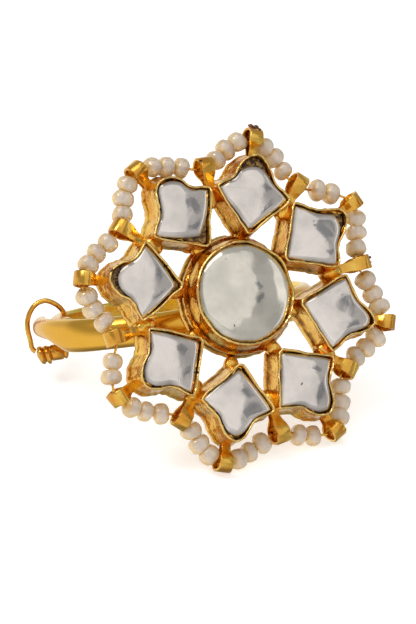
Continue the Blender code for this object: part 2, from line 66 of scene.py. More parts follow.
# How the head sits on the shank, and the sizes that the pieces share with the solids.
HEAD_LEAN_DEG = 8.4
HEAD_TURN_DEG = 7.4
HEAD_RISE = 1.0 * MM
SOLDER_DEPTH = 0.35 * MM
FOOT_STEP = 0.1 * MM
MOUNT_PETAL = 7
CUP_DEPTH = 1.1 * MM
COLLET_SHIFT_X = 0.05 * MM
COLLET_SHIFT_Z = 0.3 * MM
PETAL_START = 4.6 * MM
PETAL_LENGTH = 5.65 * MM
PETAL_WIDTH = 5.5 * MM
TIP_LOOP_REACH = 11.67 * MM
GAP_LOOP_REACH = 9.875 * MM
LOOP_DROP = 0.32 * MM
STRAIGHT_RUN = 0.57 * MM
BORE_RADIUS = 8.9 * MM
SHANK_THICKNESS = 0.95 * MM
SHOULDER_WIDTH = 2.4 * MM
TONGUE_WIDTH = 1.5 * MM
TONGUE_LIFT = SHANK_THICKNESS + 0.25 * MM
TONGUE_END_DEG = -121.0
INNER_END_DEG = 276.0
KEEPER_AT_DEG = -112.0
KEEPER_WIRE = 0.38 * MM
KEEPER_CLEARANCE = 0.18 * MM

# Where neighbouring petals meet and where the loops between them stand.
PETAL_SHOULDER = PETAL_START + PETAL_LENGTH * 0.52

# The hand-bent walls: how far the rim's line stands in from their outside, how high they are, how high up
# their pleats reach, and how long one bend, kink, pleat, rise, nick and stain is.
RIM_INSIDE = 0.12 * MM
RIM_UP_MM = 1.2
PLEATS_UP_MM = 0.9
BEND_WAVE = 1.3 * MM
KINK_WAVE = 0.45 * MM
PLEAT_WAVE = 0.38 * MM
RISE_WAVE = 1.1 * MM
NICK_WAVE = 0.35 * MM
STAIN_WAVE = 0.5 * MM

# Painted shade darkens the low walls in the clefts round the collet: how far out it reaches, and over what
# length it fades.
CLEFT_REACH = 8.6 * MM
CLEFT_FADE = 2.2 * MM

# The crystals: their rolled edge's width and height, how far they reach down into the setting, and the
# height of the girdle, the spread and the unevenness of their caps.
EDGE_ROLL = 0.45 * MM
EDGE_RISE = 0.13 * MM
CRYSTAL_SKIRT = 0.8 * MM
CAP_WAVE = 2.2 * MM
CAP_RIPPLE = 0.9 * MM
PETAL_CAP = {"girdle": 0.76 * MM, "spread": 3.3 * MM, "lumps": 0.06 * MM}
CENTRE_CAP = {"girdle": 0.86 * MM, "spread": 3.8 * MM, "lumps": 0.1 * MM}

# The strip: how long and deep its unevenness is, how long its round ends are as a share of its width, and
# how much its sections crowd together there.
STRIP_WAVE = 3.0 * MM
STRIP_UNEVEN = 0.03 * MM
NOSE_SHARE = 0.62
END_CROWDING = 0.35

# Small unevenness of lac, foil and sleeve, the length of the foil's tears and shreds, how deep solder and
# loops' roots reach into the metal, the width of the wound wire ends and their wire's diameter.
LAC_UNEVEN = 0.12 * MM
FOIL_UNEVEN = 0.06 * MM
SLEEVE_UNEVEN = 0.05 * MM
TEAR_WAVE = 0.8 * MM
SHRED_WAVE = 0.22 * MM
ROOT_OVERLAP = 0.05 * MM
WINDING_WIDTH = 0.55 * MM
WIRE_END_DIAMETER = 0.2 * MM
COLLET_SEED = 31

# How finely shapes are stepped.
RIM_STEPS = 6
COLLET_STEPS = 120
SHANK_STEPS = 190
CAP_STEPS = 22
LUMP_RINGS = 13
LUMP_SIDES = 20
BOW_STEPS = 8
SLEEVE_SIDES = 24
TURN_STEPS = 16
TAIL_STEPS = 6


def table(keys, *rows):
    """Rows of numbers as dictionaries with these keys."""
    return tuple(dict(zip(keys.split(), row)) for row in rows)


# The strip round the finger, as in the solid: place in degrees from the head and positive to the right,
# width from the tongue's to the shoulder's, lift over the inner arm, and drop below the tongue.
SHANK_TABLE = table(
    "at_deg width lift drop",
    (-121, 0.0, 1.0, 0.0),
    (-95, 0.0, 1.0, 0.0),
    (-76, 1.0, 0.9, 1.0),
    (-36, 0.85, 0.0, 0.8),
    (0, 1.0, 0.0, 0.0),
    (70, 1.0, 0.0, 0.0),
    (190, 0.0, 0.0, 0.0),
    (276, 0.0, 0.0, 0.0),
)

# Half of the strip's section from inside to outside: shares of its width and thickness.
SHANK_SECTION = table(
    "across thick",
    (0.30, 0.00),
    (0.46, 0.01),
    (0.495, 0.08),
    (0.50, 0.26),
    (0.48, 0.46),
    (0.42, 0.64),
    (0.345, 0.80),
    (0.30, 0.86),
    (0.20, 0.95),
    (0.07, 1.00),
)

# Half of a petal's rim from its inner corner to its tip: shares of its length and of half its width, how
# much of that side's own fullness is added, and how sharply the thin strip is bent there, from 0 for a
# soft curve to 1 for a corner.
PETAL_OUTLINE = table(
    "along across lobe corner",
    (0.00, 0.07, 0.0, 0.6),
    (0.22, 0.48, 0.0, 0.0),
    (0.44, 0.91, 0.0, 0.0),
    (0.525, 1.02, 0.0, 0.5),
    (0.60, 0.85, 0.0, 0.0),
    (0.66, 0.65, 0.2, 0.0),
    (0.73, 0.50, 0.6, 0.3),
    (0.84, 0.38, 1.0, 0.0),
    (0.94, 0.25, 0.7, 0.2),
    (1.00, 0.08, 0.1, 0.0),
)

# Each petal one by one, as in the solid. tip_gap and root_gap are how far its stone stops short of its
# outer and inner corners, as shares of its length, where the lac shows.
PETAL_TABLE = table(
    "start length swing slide back_lobe fore_lobe tip_gap root_gap",
    (1.01, 1.00, 1.5, 0.00, 0.09, 0.02, 0.12, 0.04),
    (0.94, 1.02, 1.5, -0.02, -0.04, 0.04, 0.10, 0.02),
    (0.95, 1.02, 6.5, 0.01, -0.04, 0.00, 0.03, 0.02),
    (0.99, 1.01, -2.5, 0.03, 0.00, 0.05, 0.02, 0.01),
    (1.06, 0.96, 0.5, -0.01, 0.00, 0.02, 0.04, 0.03),
    (1.00, 0.97, 3.5, -0.02, 0.02, 0.06, 0.02, 0.02),
    (1.07, 0.96, -2.0, 0.01, 0.04, 0.04, 0.08, 0.05),
    (1.00, 1.01, -1.5, 0.01, -0.02, 0.14, 0.02, 0.13),
)

# Each loop one by one, as in the solid: drift in degrees, share of its reach, and the pearls after it.
LOOP_TABLE = table(
    "drift reach pearls",
    (2.0, 0.985, 3),
    (0.7, 1.01, 3),
    (0.9, 0.995, 2),
    (0.0, 1.00, 3),
    (-0.6, 1.02, 3),
    (0.2, 0.99, 3),
    (0.9, 0.97, 3),
    (0.5, 1.00, 2),
    (-1.2, 1.01, 3),
    (0.5, 1.00, 3),
    (-1.0, 0.98, 3),
    (1.0, 1.00, 2),
    (-1.2, 1.00, 3),
    (-0.8, 1.005, 3),
    (-0.5, 1.02, 3),
    (-1.8, 1.00, 3),
)

# A petal box's wall from its foot over the rim and down inside. out is in mm from the rim's line, and
# up in mm from the loops' plane. dirt is how dark the gilding is painted there as shade, low down
# and in its hollows, and rub is how much rubbing the gilding shows there.
BOX_WALL = table(
    "out up dirt rub",
    (0.20, -1.10, 0.3, 0.0),
    (0.30, -1.02, 0.1, 0.4),
    (0.31, -0.70, 0.0, 0.3),
    (0.20, -0.52, 0.5, 0.0),
    (0.15, -0.30, 0.4, 0.0),
    (0.12, 0.20, 0.05, 0.0),
    (0.08, 0.75, 0.0, 0.2),
    (0.07, 1.00, 0.0, 0.5),
    (0.06, 1.13, 0.0, 1.0),
    (0.02, 1.19, 0.0, 1.0),
    (-0.03, 1.20, 0.0, 1.0),
    (-0.08, 1.16, 0.0, 0.9),
    (-0.11, 1.06, 0.1, 0.3),
    (-0.13, 0.93, 0.5, 0.0),
    (-0.14, 0.85, 1.0, 0.0),
    (-0.15, -0.60, 1.0, 0.0),
)

# The collet's wall in the same way, with out measured from the rim's radius.
COLLET_WALL = table(
    "out up dirt rub",
    (0.62, -1.20, 0.3, 0.0),
    (0.74, -1.08, 0.1, 0.4),
    (0.75, -0.80, 0.0, 0.5),
    (0.62, -0.62, 0.5, 0.0),
    (0.55, -0.52, 0.7, 0.0),
    (0.58, -0.36, 0.1, 0.5),
    (0.52, -0.18, 0.0, 0.4),
    (0.34, -0.04, 0.5, 0.0),
    (0.27, 0.12, 0.6, 0.0),
    (0.25, 0.40, 0.1, 0.1),
    (0.17, 0.80, 0.0, 0.2),
    (0.10, 1.04, 0.0, 0.5),
    (0.04, 1.17, 0.0, 1.0),
    (-0.03, 1.20, 0.0, 1.0),
    (-0.08, 1.15, 0.1, 0.7),
    (-0.11, 1.06, 0.1, 0.3),
    (-0.13, 0.93, 0.5, 0.0),
    (-0.14, 0.85, 1.0, 0.0),
    (-0.15, -0.60, 1.0, 0.0),
)

# The keeper's wire in its own plane: out is a share of the way from the finger side of the shank to its
# outside, up is in mm along the finger's axis.
BOW_PATH = table(
    "out up",
    (0.86, -1.75),
    (0.97, -0.85),
    (1.00, 0.15),
    (0.94, 0.95),
    (0.76, 1.62),
    (0.50, 1.90),
    (0.24, 1.60),
    (0.06, 0.95),
    (0.00, 0.08),
    (0.00, -0.85),
    (0.03, -1.60),
)

# The barrel and the two wound turns that close the keeper, from the finger side outwards. radius and
# low, how far the middle lies below the strip's, are in mm, and lean is how far the turns slant.
SLEEVE_PROFILE = table(
    "out radius low lean",
    (0.03, 0.34, 1.90, 0.0),
    (0.05, 0.53, 1.90, 0.0),
    (0.09, 0.60, 1.92, 0.0),
    (0.12, 0.57, 1.92, 0.0),
    (0.15, 0.50, 1.92, 0.0),
    (0.18, 0.58, 1.94, 0.0),
    (0.44, 0.60, 1.96, 0.0),
    (0.48, 0.50, 1.96, 0.1),
    (0.50, 0.58, 2.02, 0.2),
    (0.54, 0.71, 2.08, 0.2),
    (0.60, 0.69, 2.08, 0.2),
    (0.64, 0.55, 2.06, 0.2),
    (0.68, 0.67, 2.08, 0.2),
    (0.73, 0.71, 2.08, 0.2),
    (0.78, 0.62, 2.06, 0.2),
    (0.81, 0.38, 2.00, 0.1),
    (0.84, 0.16, 1.95, 0.0),
)

# The threading wire's two ends, wound round a loop: its row in the loops' table, the turns, how far the
# winding reaches from the string in mm, and how long the end is that stands off outwards.
WIRE_ENDS = table(
    "loop turns reach tail",
    (1, 3.2, 0.62, 0.2),
    (4, 1.6, 0.60, 0.9),
)

# The lac round a stone and the foil over it: inset from the rim's line or share of the foil's lap, and
# height from the loops' plane, both in mm for the lac.
LAC_PROFILE = ((0.16, -0.3), (0.16, 0.72), (0.26, 0.80), (0.5, 0.76), (1.2, 0.7))
FOIL_PROFILE = ((0.0, 0.55), (0.0, 0.86), (0.5, 0.97), (1.0, 0.99), (0.9, 0.9), (0.4, 0.7))

# Solder lumps: height in mm from the loops' plane, and half sizes in mm along, across and over the flower.
SHOULDER_SOLDER = (-0.25, (0.85, 0.55, 0.8))
ROOT_SOLDER = (-0.6, (0.75, 0.6, 0.5))


def petal_row(index):
    """The petal's own row of its table."""
    return PETAL_TABLE[index % len(PETAL_TABLE)]


# Places on the ring.


def head_seat():
    """The flower's middle on its back plane, with its right, up and outward directions.

    They follow from the mount on the back of one petal box, and from where the centre stone lies from it.
    """
    mount = frame["record"]["mounts"][0]
    back = Vector(mount["pos_m"])
    outward = -Vector(mount["axis"]).normalized()
    corners = [v.co for v in frame["nodes"]["centre_stone"].data.vertices]
    way = sum(corners, Vector()) / len(corners) - back
    way = (way - outward * way.dot(outward)).normalized()
    side = outward.cross(way)
    row = PETAL_TABLE[MOUNT_PETAL]
    reach = PETAL_START * row["start"] + PETAL_LENGTH * row["length"] / 2
    spot = polar(360 / PETALS * (MOUNT_PETAL + 0.5), reach)
    flat = (Vector((COLLET_SHIFT_X, COLLET_SHIFT_Z)) - spot).normalized()
    right = way * flat.x - side * flat.y
    up = way * flat.y + side * flat.x
    return back - right * spot.x - up * spot.y + outward * FOOT_STEP, right, up, outward


def polar(angle_deg, radius):
    """A place on the flower, whose angles run clockwise from its own top."""
    angle = math.radians(angle_deg - HEAD_TURN_DEG)
    return Vector((math.sin(angle), math.cos(angle))) * radius


SEAT, RIGHT, UP, OUTWARD = head_seat()
LEAN = math.radians(HEAD_LEAN_DEG)
FINGER = UP * math.cos(LEAN) + OUTWARD * math.sin(LEAN)
REARWARD = UP * math.sin(LEAN) - OUTWARD * math.cos(LEAN)
BORE_MIDDLE = SEAT + REARWARD * (BORE_RADIUS + SHANK_THICKNESS - SOLDER_DEPTH) - FINGER * HEAD_RISE


def on_head(x, z, height):
    """A point of the flower in the row's frame."""
    return SEAT + RIGHT * x + UP * z + OUTWARD * (height + CUP_DEPTH)


def on_shank(at_deg, reach, height):
    """A point round the finger in the row's frame."""
    angle = math.radians(at_deg)
    return BORE_MIDDLE + (RIGHT * math.sin(angle) - REARWARD * math.cos(angle)) * reach + FINGER * height


def wobble(point, wave, seed):
    """Smooth unevenness from -1 to 1 that changes over a length of about one wave."""
    return noise.noise(Vector(point) / wave + Vector((seed * 7.13, seed * 3.71, seed * 1.37)))


# Meshes.


def loft(rings, closed=False):
    """Joins rings of equally many points into faces. An open loft has a cap at each end."""
    count = len(rings[0])
    points = [point for ring in rings for point in ring]
    faces = []
    for k in range(len(rings) if closed else len(rings) - 1):
        here, there = k * count, (k + 1) % len(rings) * count
        for i in range(count):
            j = (i + 1) % count
            faces.append((here + i, here + j, there + j, there + i))
    for first in () if closed else (0, len(points) - count):
        apex = len(points)
        points.append(sum(points[first : first + count], Vector()) / count)
        faces += [(first + i, first + (i + 1) % count, apex) for i in range(count)]
    return points, faces


def facing_out(mesh):
    """Turns every face outwards."""
    work = bmesh.new()
    work.from_mesh(mesh)
    bmesh.ops.recalc_face_normals(work, faces=work.faces)
    work.to_mesh(mesh)
    work.free()


def add_piece(name, mesh, finish, stands_for):
    """Puts a finished mesh into the scene, where it rides on the ring and stands for its solid."""
    mesh.materials.clear()
    mesh.materials.append(finish)
    mesh.shade_smooth()
    obj = bpy.data.objects.new(name, mesh)
    bpy.context.scene.collection.objects.link(obj)
    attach(obj, BODY)
    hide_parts(stands_for)


def mesh_from(name, points, faces, sharp_deg=50, **attributes):
    """A mesh with its faces turned out and one number for each point in each named attribute."""
    mesh = bpy.data.meshes.new(name)
    mesh.from_pydata([tuple(point) for point in points], [], faces)
    facing_out(mesh)
    mesh.set_sharp_from_angle(angle=math.radians(sharp_deg))
    for key, values in attributes.items():
        values = list(values) + [0.0] * (len(points) - len(values))
        mesh.attributes.new(key, "FLOAT", "POINT").data.foreach_set("value", values)
    return mesh


def rounded(corners, steps):
    """A closed curve through corners of (point, sharpness), which bends tightly where sharpness is 1."""
    count = len(corners)
    ways = [(corners[(i + 1) % count][0] - corners[i - 1][0]).normalized() for i in range(count)]
    spots = []
    for i, (start, sharp_start) in enumerate(corners):
        end, sharp_end = corners[(i + 1) % count]
        reach = (end - start).length
        leave = ways[i] * (reach * (1 - sharp_start))
        arrive = ways[(i + 1) % count] * (reach * (1 - sharp_end))
        for k in range(steps):
            t = k / steps
            spots.append(
                start * (2 * t**3 - 3 * t**2 + 1)
                + leave * (t**3 - 2 * t**2 + t)
                + end * (3 * t**2 - 2 * t**3)
                + arrive * (t**3 - t**2)
            )
    return spots


def outward_sides(outline):
    """The direction out of a closed outline that runs clockwise, at each of its points."""
    count = len(outline)
    sides = []
    for i in range(count):
        ahead = (outline[(i + 1) % count] - outline[i - 1]).normalized()
        sides.append(Vector((-ahead.y, ahead.x)))
    return sides


def petal_rim(index, stone=False):
    """The rim line of one petal box on the flower, clockwise, or the line of its stone."""
    row = petal_row(index)
    angle = 360 / PETALS * (index + 0.5)
    length = PETAL_LENGTH * row["length"]
    along = polar(angle + row["swing"], 1)
    across = Vector((along.y, -along.x))
    middle = polar(angle, PETAL_START * row["start"] + length / 2)
    middle += across * (row["slide"] * PETAL_WIDTH)
    # A stone stops short in the last three tenths at each end.
    corner = 0.3
    corners = []
    for side, lobe, rows in (
        (-1, row["back_lobe"], PETAL_OUTLINE),
        (1, row["fore_lobe"], tuple(reversed(PETAL_OUTLINE))),
    ):
        for p in rows:
            place = p["along"]
            if stone:
                place -= row["tip_gap"] * max(0.0, p["along"] - 1 + corner) / corner
                place += row["root_gap"] * max(0.0, corner - p["along"]) / corner
            reach = along * ((place - 0.5) * length)
            spread = across * (side * (p["across"] + p["lobe"] * lobe) * PETAL_WIDTH / 2)
            corners.append((middle + reach + spread, p["corner"]))
    return rounded(corners, RIM_STEPS)


def collet_rim(look):
    """The collet's rim line, clockwise."""
    radius = look.flower.collet_diameter / 2
    middle = Vector((COLLET_SHIFT_X, COLLET_SHIFT_Z))
    turns = [2 * math.pi * k / COLLET_STEPS for k in range(COLLET_STEPS)]
    return [middle + Vector((math.sin(a), math.cos(a))) * radius for a in turns]


def setting_rims(look):
    """The rim lines of the eight petal boxes and the collet."""
    return [petal_rim(index) for index in range(PETALS)] + [collet_rim(look)]


def setting_wall(outline, wall, look, seed):
    """A hand-bent wall round a stone: its rings, with the painted shade and stains, and the rub, of each
    point.
    """
    sides = outward_sides(outline)
    rings, dirt, rub = [], [], []
    for row in wall:
        ring = []
        height = row["up"] * MM
        high = max(0.0, row["up"]) / RIM_UP_MM
        low = min(1.0, max(0.0, PLEATS_UP_MM - row["up"]))
        for point, side in zip(outline, sides):
            here = Vector((point.x, point.y, height * 0.4))
            bend = wobble(here, BEND_WAVE, seed) + wobble(here, KINK_WAVE, seed + 3) * 0.35
            pleat = wobble((point.x, point.y, height * 0.1), PLEAT_WAVE, seed + 4) * low
            lift = wobble(here, RISE_WAVE, seed + 5) + wobble(here, NICK_WAVE, seed + 7) * 0.5
            move = look.bend * bend * (0.5 + 0.5 * high) + look.pleats * pleat * (row["out"] > 0)
            spot = point + side * (row["out"] * MM + move)
            ring.append(on_head(spot.x, spot.y, height + lift * look.ragged * high))
            stain = wobble((point.x, point.y, height), STAIN_WAVE, seed + 11)
            # Painted shade: the wall is darker low down and in its hollows as its row gives, in the clefts
            # round the collet, and where a pleat folds inwards. The stains are real marks.
            cleft = min(1.0, max(0.0, (CLEFT_REACH - point.length) / CLEFT_FADE)) * (1 - high)
            dark = row["dirt"] + look.cleft_shade * cleft + 0.15 * stain - 0.15 * pleat
            dirt.append(min(1.0, max(0.0, dark)))
            rub.append(min(1.0, max(0.0, row["rub"] * (1 + 0.7 * stain))))
        rings.append(ring)
    return rings, dirt, rub


# Materials.


def linear(hex_colour):
    """A linear colour from an sRGB hex value such as #E0B040."""
    channels = [int(hex_colour[i : i + 2], 16) / 255 for i in (1, 3, 5)]
    return [c / 12.92 if c <= 0.04045 else ((c + 0.055) / 1.055) ** 2.4 for c in channels] + [1.0]


def fill_sockets(tree, node, values):
    """Gives each named input of a node a constant of its own, or links an output to it."""
    for key, value in values.items():
        if isinstance(value, bpy.types.NodeSocket):
            tree.links.new(value, node.inputs[key])
        else:
            node.inputs[key].default_value = value


def add_node(tree, kind, inputs=None, **settings):
    """Adds a node with its own settings. inputs holds a value or an output to link for each socket."""
    node = tree.nodes.new(kind)
    for key, value in settings.items():
        setattr(node, key, value)
    fill_sockets(tree, node, inputs or {})
    return node


def new_material(name):
    """An empty Principled material: itself, its tree, its shader and the place in the object."""
    made = bpy.data.materials.new(name)
    made.use_nodes = True
    tree = made.node_tree
    place = add_node(tree, "ShaderNodeTexCoord").outputs["Object"]
    return made, tree, tree.nodes["Principled BSDF"], place


def blend_colours(tree, share, first, second):
    """A colour between two: share is an output or a number, and so is each colour."""
    return add_node(tree, "ShaderNodeMix", {0: share, 6: first, 7: second}, data_type="RGBA").outputs[2]


def stretched(tree, value, low, high, to_low=0.0, to_high=1.0, kind="LINEAR"):
    """A value stretched from one range to another and held inside it."""
    inputs = {"Value": value, "From Min": low, "From Max": high, "To Min": to_low, "To Max": to_high}
    return add_node(tree, "ShaderNodeMapRange", inputs, interpolation_type=kind).outputs[0]


def maths(tree, operation, first, second=0.0, third=0.0):
    """A sum of two or three numbers or outputs."""
    inputs = {0: first, 1: second, 2: third}
    return add_node(tree, "ShaderNodeMath", inputs, operation=operation).outputs[0]


def vector_maths(tree, operation, first, second):
    """A vector sum, or with SCALE a vector times a number."""
    inputs = {0: first, "Scale" if operation == "SCALE" else 1: second}
    return add_node(tree, "ShaderNodeVectorMath", inputs, operation=operation).outputs[0]


def dot_product(tree, first, second):
    """How far two directions point the same way."""
    node = add_node(tree, "ShaderNodeVectorMath", {0: first, 1: second}, operation="DOT_PRODUCT")
    return node.outputs["Value"]


def vector_of(tree, x=0.0, y=0.0, z=0.0):
    """A vector from three numbers or outputs."""
    return add_node(tree, "ShaderNodeCombineXYZ", {"X": x, "Y": y, "Z": z}).outputs[0]


def blotches(tree, place, width, detail=2.0, distortion=0.0):
    """Soft random blotches of about this width, from 0 to 1."""
    inputs = {"Vector": place, "Scale": 1 / width, "Detail": detail, "Distortion": distortion}
    return add_node(tree, "ShaderNodeTexNoise", inputs).outputs["Fac"]


def attribute(tree, name, output="Fac"):
    """A material's reading of a named attribute."""
    return add_node(tree, "ShaderNodeAttribute", attribute_name=name).outputs[output]


def bumped(tree, height, depth, strength, under=None):
    """A normal raised by a height, over another bump where one is given."""
    inputs = {"Height": height, "Distance": depth, "Strength": strength}
    if under is not None:
        inputs["Normal"] = under
    return add_node(tree, "ShaderNodeBump", inputs).outputs[0]


def specks(tree, place, spacing, size):
    """How much of a speck lies at a place: specks are one spacing apart, and size is a share of it."""
    warp = add_node(tree, "ShaderNodeTexNoise", {"Vector": place, "Scale": 3 / spacing, "Detail": 1.0})
    shift = vector_maths(tree, "SCALE", warp.outputs["Color"], 0.4 * spacing)
    moved = vector_maths(tree, "ADD", place, shift)
    cells = add_node(tree, "ShaderNodeTexVoronoi", {"Vector": moved, "Scale": 1 / spacing})
    return stretched(tree, cells.outputs["Distance"], size * 0.5, size, 1.0, 0.0)


def gilding(name, bright, deep, dirt, roughness, dents):
    """Gold foil rubbed on by hand: rich yellow, deeper in patches, brown with soot and wax, and brown as
    painted shade in its hollows and clefts.
    """
    made, tree, shader, place = new_material(name)
    # One patch of deeper gold is about 1.6 mm wide, a hammer dent 0.5 mm, and the foil's grain 0.12 mm.
    patches = blotches(tree, place, 1.6 * MM, 3.0)
    hammer = blotches(tree, place, 0.5 * MM)
    grain = blotches(tree, place, 0.12 * MM)
    colour = blend_colours(tree, stretched(tree, patches, 0.38, 0.62), linear(bright), linear(deep))
    shine = stretched(tree, attribute(tree, "rub"), 0.0, 1.0, 0.0, 0.6)
    colour = blend_colours(tree, shine, colour, linear("#F6DC92"))
    # Soot on the joints, foil and keeper, and painted shade on the settings' walls, turn the gilding brown
    # and less metallic.
    darkened = stretched(tree, maths(tree, "ADD", attribute(tree, "dirt"), hammer), 1.0, 1.55)
    colour = blend_colours(tree, darkened, colour, linear(dirt))
    # Pinholes in the worked metal are about 0.15 mm wide and 1.5 mm apart, and hold wax.
    colour = blend_colours(tree, specks(tree, place, 1.5 * MM, 0.1), colour, linear("#2A140A"))
    dented = bumped(tree, hammer, dents * MM, 0.9)
    values = {
        "Base Color": colour,
        "Metallic": stretched(tree, darkened, 0.7, 1.0, 1.0, 0.85),
        "Roughness": stretched(tree, grain, 0.3, 0.7, roughness * 0.75, roughness * 1.3),
        "Normal": bumped(tree, grain, 0.012 * MM, 0.5, dented),
    }
    fill_sockets(tree, shader, values)
    return made


def satin_gold(name, bright, deep, red, end_shade):
    """Drawn gold strip, rubbed lengthwise: lemon yellow with fine streaks along it."""
    made, tree, shader, place = new_material(name)
    along = add_node(tree, "ShaderNodeUVMap", uv_map="strip").outputs[0]
    # The map runs in mm: streaks are about 6 mm long and 0.1 mm apart across the strip.
    along = add_node(tree, "ShaderNodeMapping", {"Vector": along, "Scale": (0.16, 9.0, 1.0)}).outputs[0]
    streaks = blotches(tree, along, 1.0, 4.0)
    patch = stretched(tree, blotches(tree, place, 2.5 * MM), 0.35, 0.65, 0.0, 0.55)
    colour = blend_colours(tree, patch, linear(bright), linear(deep))
    # The outside is a redder gold than the inner face, and painted shade makes the round ends dark brown and
    # less metallic.
    side = attribute(tree, "side")
    colour = blend_colours(tree, stretched(tree, side, 0.45, 1.0, 0.0, 0.6), colour, linear(red))
    ends = stretched(tree, side, 1.1, 1.6)
    values = {
        "Base Color": blend_colours(tree, ends, colour, linear(end_shade)),
        "Metallic": stretched(tree, ends, 0.0, 1.0, 1.0, 0.55),
        "Roughness": stretched(tree, streaks, 0.3, 0.7, 0.16, 0.26),
        "Normal": bumped(tree, streaks, 0.006 * MM, 0.5),
    }
    fill_sockets(tree, shader, values)
    return made


def foiled_crystal(name, foil, shade, wall):
    """Clear crystal over crinkled silver foil: the foil mirrors softly, and the polished top shines."""
    made, tree, shader, place = new_material(name)
    # Foil wrinkles are about 1.3 mm apart, and the cloudiness in the crystal 2 mm wide.
    clouds = blotches(tree, place, 2.0 * MM, 3.0)
    wrinkles = blotches(tree, place, 1.3 * MM, 2.0, 0.8)
    colour = blend_colours(tree, stretched(tree, clouds, 0.4, 0.64), linear(foil), linear(shade))
    # Painted reflection: near its girdle the dark wall, as the crystal would bend it into view, is painted
    # over the foil.
    near_wall = maths(tree, "MULTIPLY", attribute(tree, "edge"), clouds)
    painted_wall_view = stretched(tree, near_wall, 0.1, 0.55, 0.0, 0.85)
    colour = blend_colours(tree, painted_wall_view, colour, linear(wall))
    # Dark inclusions are about 0.1 mm wide and 1.8 mm apart.
    colour = blend_colours(tree, specks(tree, place, 1.8 * MM, 0.055), colour, linear("#4A463E"))
    values = {
        "Base Color": colour,
        "Metallic": 0.85,
        "Roughness": 0.12,
        "Coat Weight": 1.0,
        "Coat Roughness": 0.02,
        "Normal": bumped(tree, wrinkles, 0.035 * MM, 0.5),
    }
    fill_sockets(tree, shader, values)
    return made


def nacre(name, body, warm, honey):
    """Seed pearl: thin translucent nacre, off-white with a grey-pink cast, a shine and faint growth lines.

    Seen flat on it is pale, and its flanks and drilled ends are painted honey as a glow of the gold behind
    them.
    """
    made, tree, shader, place = new_material(name)
    # Growth lines run from one drilled end to the other, five or so across a pearl, and differ from pearl
    # to pearl. They lie over mottling of 0.4 mm.
    tone = attribute(tree, "tone")
    shift = vector_maths(tree, "SCALE", vector_of(tree, tone, tone), 37.0)
    within = {"Vector": attribute(tree, "pearl_place", "Vector"), "Location": shift, "Scale": (1.0, 1.0, 0.3)}
    lines = blotches(tree, add_node(tree, "ShaderNodeMapping", within).outputs[0], 1 / 2.6, 3.0, 0.6)
    clouds = blotches(tree, place, 0.4 * MM, 3.0)
    mottle = add_node(tree, "ShaderNodeMix", {0: 0.65, 2: clouds, 3: lines}).outputs[0]
    warmer = stretched(tree, tone, 0.0, 1.0, 0.0, 0.25)
    share = maths(tree, "MULTIPLY_ADD", stretched(tree, mottle, 0.42, 0.68), 0.5, warmer)
    colour = blend_colours(tree, share, linear(body), linear(warm))
    # Painted glow: the flanks and drilled ends turn honey, as if the gold behind them shone through.
    painted_glow = stretched(tree, attribute(tree, "flank"), 0.15, 0.8)
    painted_glow = maths(tree, "MAXIMUM", painted_glow, stretched(tree, attribute(tree, "drilled_end"), 0.4, 0.9))
    values = {
        "Base Color": blend_colours(tree, painted_glow, colour, linear(honey)),
        "Roughness": 0.2,
        "Transmission Weight": 0.35,
        "Subsurface Weight": 0.25,
        "Subsurface Radius": (1.0, 0.85, 0.65),
        "Subsurface Scale": 0.3 * MM,
        "Coat Weight": 1.0,
        "Coat Roughness": 0.06,
        "Normal": bumped(tree, mottle, 0.03 * MM, 0.5),
    }
    fill_sockets(tree, shader, values)
    return made


def lac(name):
    """Resin in which the foil and stone are bedded: dull brown, with paler crumbs of old foil."""
    made, tree, shader, place = new_material(name)
    # Its crumbs are about 0.3 mm wide.
    crumbs = blotches(tree, place, 0.3 * MM, 3.0)
    share = stretched(tree, crumbs, 0.42, 0.62)
    values = {
        "Base Color": blend_colours(tree, share, linear("#3E2A18"), linear("#B08A50")),
        "Roughness": 0.6,
        "Specular IOR Level": 0.3,
        "Normal": bumped(tree, crumbs, 0.05 * MM, 0.8),
    }
    fill_sockets(tree, shader, values)
    return made


def light_table(name):
    """Matt white acrylic sheet of a light table, lit from below, with a grain that is only just there."""
    made, tree, shader, place = new_material(name)
    grain = blotches(tree, place, 0.4 * MM)
    values = {
        "Base Color": blend_colours(tree, grain, linear("#F6F6F5"), linear("#FBFBFA")),
        "Roughness": 0.9,
        "Specular IOR Level": 0.1,
        "Emission Color": (1.0, 1.0, 1.0, 1.0),
        "Emission Strength": 0.5,
    }
    fill_sockets(tree, shader, values)
    return made


def grey_card(name):
    """Matt grey card, which only the ring's reflections show."""
    made, tree, shader, place = new_material(name)
    fill_sockets(tree, shader, {"Base Color": linear("#4C545E"), "Roughness": 0.9})
    return made


# Geometry node trees.


def new_tree(name, *inputs):
    """A geometry node tree with a mesh in, a mesh out and the named inputs of (kind, name, default)."""
    tree = bpy.data.node_groups.new(name, "GeometryNodeTree")
    tree.interface.new_socket("Geometry", in_out="INPUT", socket_type="NodeSocketGeometry")
    tree.interface.new_socket("Geometry", in_out="OUTPUT", socket_type="NodeSocketGeometry")
    for kind, label, default in inputs:
        socket = tree.interface.new_socket(label, in_out="INPUT", socket_type=kind)
        if default is not None:
            socket.default_value = default
    return tree, add_node(tree, "NodeGroupInput").outputs


def grown(name, seeds, tree, values):
    """Runs a tree on a mesh of seeds and gives the result as a plain mesh."""
    obj = bpy.data.objects.new(name + "_seed", seeds)
    bpy.context.scene.collection.objects.link(obj)
    modifier = obj.modifiers.new("grow", "NODES")
    modifier.node_group = tree
    for socket in tree.interface.items_tree:
        if socket.in_out == "INPUT" and socket.name in values:
            modifier[socket.identifier] = values[socket.name]
    graph = bpy.context.evaluated_depsgraph_get()
    mesh = bpy.data.meshes.new_from_object(obj.evaluated_get(graph))
    bpy.data.objects.remove(obj)
    bpy.data.node_groups.remove(tree)
    mesh.name = name
    return mesh


